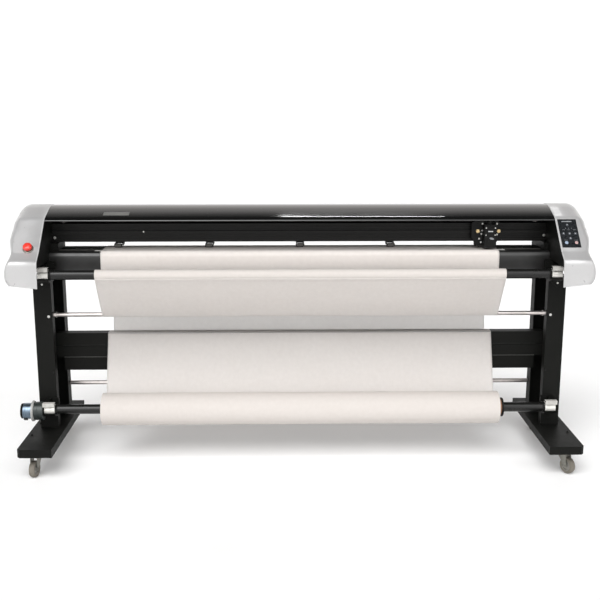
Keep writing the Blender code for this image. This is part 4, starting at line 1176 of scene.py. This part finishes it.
# ---- controls and small fittings
def make_panel():
    """Printed bars, raised rim and lamps on the control panel."""
    panel = sloped(PANEL_CENTRE)
    top = PANEL_PROUD
    ink = (top - 0.0001, top + 0.0003)
    legend = Shape()
    legend.extruded(rounded_rectangle(0.0225, 0.0024, 0.001), *ink, panel @ at(-0.002, 0.0655, 0))
    for x, y, half in ((-0.022, 0.019, 0.006), (0.001, 0.019, 0.006), (0.026, 0.019, 0.006),
                       (-0.02, -0.038, 0.008), (0.024, -0.038, 0.008)):
        legend.slab(half, 0.0006, ink, panel @ at(x, y, 0))
    legend.made("panel_legend_bars", "root", GREY_MARK, slot="panel_film")

    outline = rounded_rectangle(PANEL_SIZE[0] / 2 - 0.0005, PANEL_SIZE[1] / 2 - 0.0005, 0.0035)
    rim = Shape()
    for (u0, v0), (u1, v1) in zip(outline, outline[1:] + outline[:1]):
        run = Vector((u1 - u0, v1 - v0))
        if run.length > 0.00001:
            turn = Matrix.Rotation(math.atan2(run.y, run.x), 4, "Z")
            rim.block((-0.0002, -0.0004, top - 0.0002), (run.length + 0.0002, 0.0004, top + 0.0005), 0,
                      panel @ at(u0, v0, 0) @ turn)
    rim.made("panel_rim", "root", BLACK_PLASTIC, slot="panel_film")

    lamps = Shape()
    for x in (-0.012, 0.001, 0.014):
        lamps.turned(mm((1.6, -0.2), (1.5, 0.6), (0.8, 1), origin=(0, top)), panel @ at(x, 0.027, 0),
                     16)
    lamps.made("panel_lamps", "root", GREY_MARK, slot="panel_film")


def make_keys():
    """Domed key caps, each with a raised symbol."""
    keys = {    # place on the panel, radius, cap, turn of the arrow in degrees
        "up": (-0.002, 0.046, 0.0065, KEY, 90),
        "left": (-0.026, -0.002, 0.0065, KEY, 180),
        "enter": (0.001, -0.002, 0.0065, KEY, None),
        "right": (0.027, -0.002, 0.0065, KEY, 0),
        "down": (0.001, -0.029, 0.0065, KEY, -90),
        "pause": (-0.02, -0.052, 0.0075, KEY_BLUE, None),
        "stop": (0.024, -0.052, 0.0075, KEY_RED, None),
    }
    top = PANEL_PROUD
    crest = top + 0.0023
    mark = (crest - 0.0003, crest + 0.0003)
    for name, (x, y, radius, cap, turn) in keys.items():
        place = sloped(PANEL_CENTRE) @ at(x, y, 0)
        key = Shape()
        key.turned(mm((0, -3.1), (0, 0.6), (-0.4, 1.4), (-1.4, 2), (-3, 2.3), origin=(radius, top)),
                   place, 40)
        if turn is not None:
            spin = Matrix.Rotation(math.radians(turn), 4, "Z")
            key.extruded(mm((2.8, 0), (-1.6, 2.6), (-1.6, -2.6)), *mark, place @ spin, 1)
        elif name == "enter":
            key.turned([(0.0016, mark[0]), (0.0026, mark[0]), (0.0026, mark[1]), (0.0016, mark[1])],
                       place, 24, 1, closed=True)
        elif name == "pause":
            for bar in (-0.0017, 0.0017):
                key.slab(0.0007, 0.0026, mark, place @ at(bar, 0, 0), 1)
        else:
            key.slab(0.0023, 0.0023, mark, place, 1)
        colour = GREY_MARK if name in ("pause", "stop") else WHITE_MARK
        key.made(f"key_{name}_cap", f"key_{name}", cap, colour, slot="key_grey",
                 replaces=[f"key_{name}"], smooth=35)


def make_stop():
    """Emergency stop: metal collar and a mushroom with three raised dots."""
    stop = sloped(STOP_CENTRE)
    collar = mm((13, 0.6), (23.8, 0.6), (23.8, 1.4), (22.5, 2.6), (19.5, 4.2), (14, 4.4), (13, 4))
    Shape().turned(collar, stop, 56, closed=True).made(
        "estop_collar", "root", FORK, slot="steel", smooth=30)
    button = Shape()
    button.turned(mm((10.5, -18), (10.5, 8.6), (15, 9), (18.8, 10), (19.8, 11.8), (20, 15), (19.8, 18),
                     (18.8, 20.8), (16.8, 23.2), (13.5, 24.8), (9.5, 25.6), (5, 25.9)), stop, 56)
    for k in range(3):
        button.turned(mm((1.4, 24), (1.4, 26.2)), stop @ part_turn(k, 3) @ at(0.0105, 0, 0), 12)
    button.made("estop_mushroom", "estop", RED, slot="red_plastic", replaces=["estop_button"])


def make_fasteners():
    """Screws and flaps on the legs and brackets, a light grey strip painted along the crossbeam's step as
    its highlight, and a black strip at its groove.
    """
    screws = Shape()
    for side in (-1, 1):
        add_screw(screws, (side * 1.158, -0.058, 0.6865), FRONT, 0.0046)
        add_screw(screws, (side * 1.15, -0.058, 0.42), FRONT, 0.004, 1)
        for y in (0.02, 0.11):
            for z in (0.205, 0.74):
                add_screw(screws, (side * 1.223, y, z), (side, 0, 0), 0.0062, 1, socket=True)
        for y in (-0.16, 0.0, 0.13, 0.285):
            add_screw(screws, (side * 1.24, y, 0.15), (0, 0, 1), 0.005, 1, socket=True)
    screws.made("stand_screws", "root", ZINC, BLACK_PLASTIC, slot="steel", smooth=35)

    step_strips = Shape()
    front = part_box("crossbeam")[0].y
    # Painted highlight: a light grey strip along the step in the beam's front. The next strip sits at the
    # groove.
    step_strips.block((-1.129, front - 0.0007, 0.4555), (1.129, front + 0.001, 0.4568))
    step_strips.block((-1.129, front - 0.0004, 0.514), (1.129, front + 0.001, 0.5156), 1)
    step_strips.made("crossbeam_step_strips", "root", STEP_HIGHLIGHT, BELT, slot="powder_black")

    for word, (y, z), inner, outer in (("takeup", TAKEUP_YZ, 1.117, 1.171),
                                       ("supply", SUPPLY_YZ, 1.131, 1.186)):
        section = mm((-30.2, 19), (-30.2, 36.2), (-10, 36.2), (-10, 37.8), (-32.2, 37.8), (-32.2, 19),
                     origin=(y, z))
        for side, hand in ((-1, "left"), (1, "right")):
            Shape().extruded(section, *span(side, inner, outer), ALONG_X).made(
                f"{hand}_{word}_bracket_flap", "root", FLAP, slot="steel", bevel=0.0006)
    fittings = Shape()
    for side in (-1, 1):
        y, z = TAKEUP_YZ
        add_screw(fittings, (side * 1.16, y + 0.028, z - 0.048), FRONT, 0.0032)
        y, z = SUPPLY_YZ
        for x in (1.142, 1.176):
            add_screw(fittings, (side * x, y + 0.014, z - 0.0315), FRONT, 0.003)
    fittings.made("bracket_screws", "root", ZINC, BRASS, slot="steel", smooth=35)


# ---- carried-over CAD nodes
def dress_cad():
    dress(POWDER, 0.0012, "left_foot", "right_foot", "left_leg", "right_leg", "crossbeam")
    dress(POWDER, 0.0006, "left_side_plate", "right_side_plate", "platen")
    dress(ANODISED, 0.0004, "carriage_beam")
    dress(SATIN, 0.0, "apron")
    dress(STEEL, 0.001, "upper_guide_rod", "lower_guide_rod", "drive_roller")
    dress(POWDER, 0.0003, "pinch_lift_bar")
    dress(ROLLER_RUBBER, 0.0008, *[f"pinch_roller_{k}" for k in range(1, 6)])
    dress(BELT, 0.0, "carriage_belt")
    dress(STEEL, 0.0003, "idler_pulley", "drive_pulley")
    dress(BLACK_PLASTIC, 0.0012, "feed_motor", "carriage_motor", "electronics_box")
    dress(BLACK_PLASTIC, 0.0008, "carriage")
    dress(POWDER, 0.0008, "left_takeup_bracket", "right_takeup_bracket", "left_supply_bracket",
          "right_supply_bracket")
    dress(FILM, 0.0003, "control_panel")


make_stage()
dress_cad()
make_covers()
make_hood()
make_paper()
make_bars()
make_core_flange()
make_supply_motor()
make_casters()
make_carriage()
make_tool()
make_pinch_brackets()
make_beam_details()
make_panel()
make_keys()
make_stop()
make_badge()
make_fasteners()
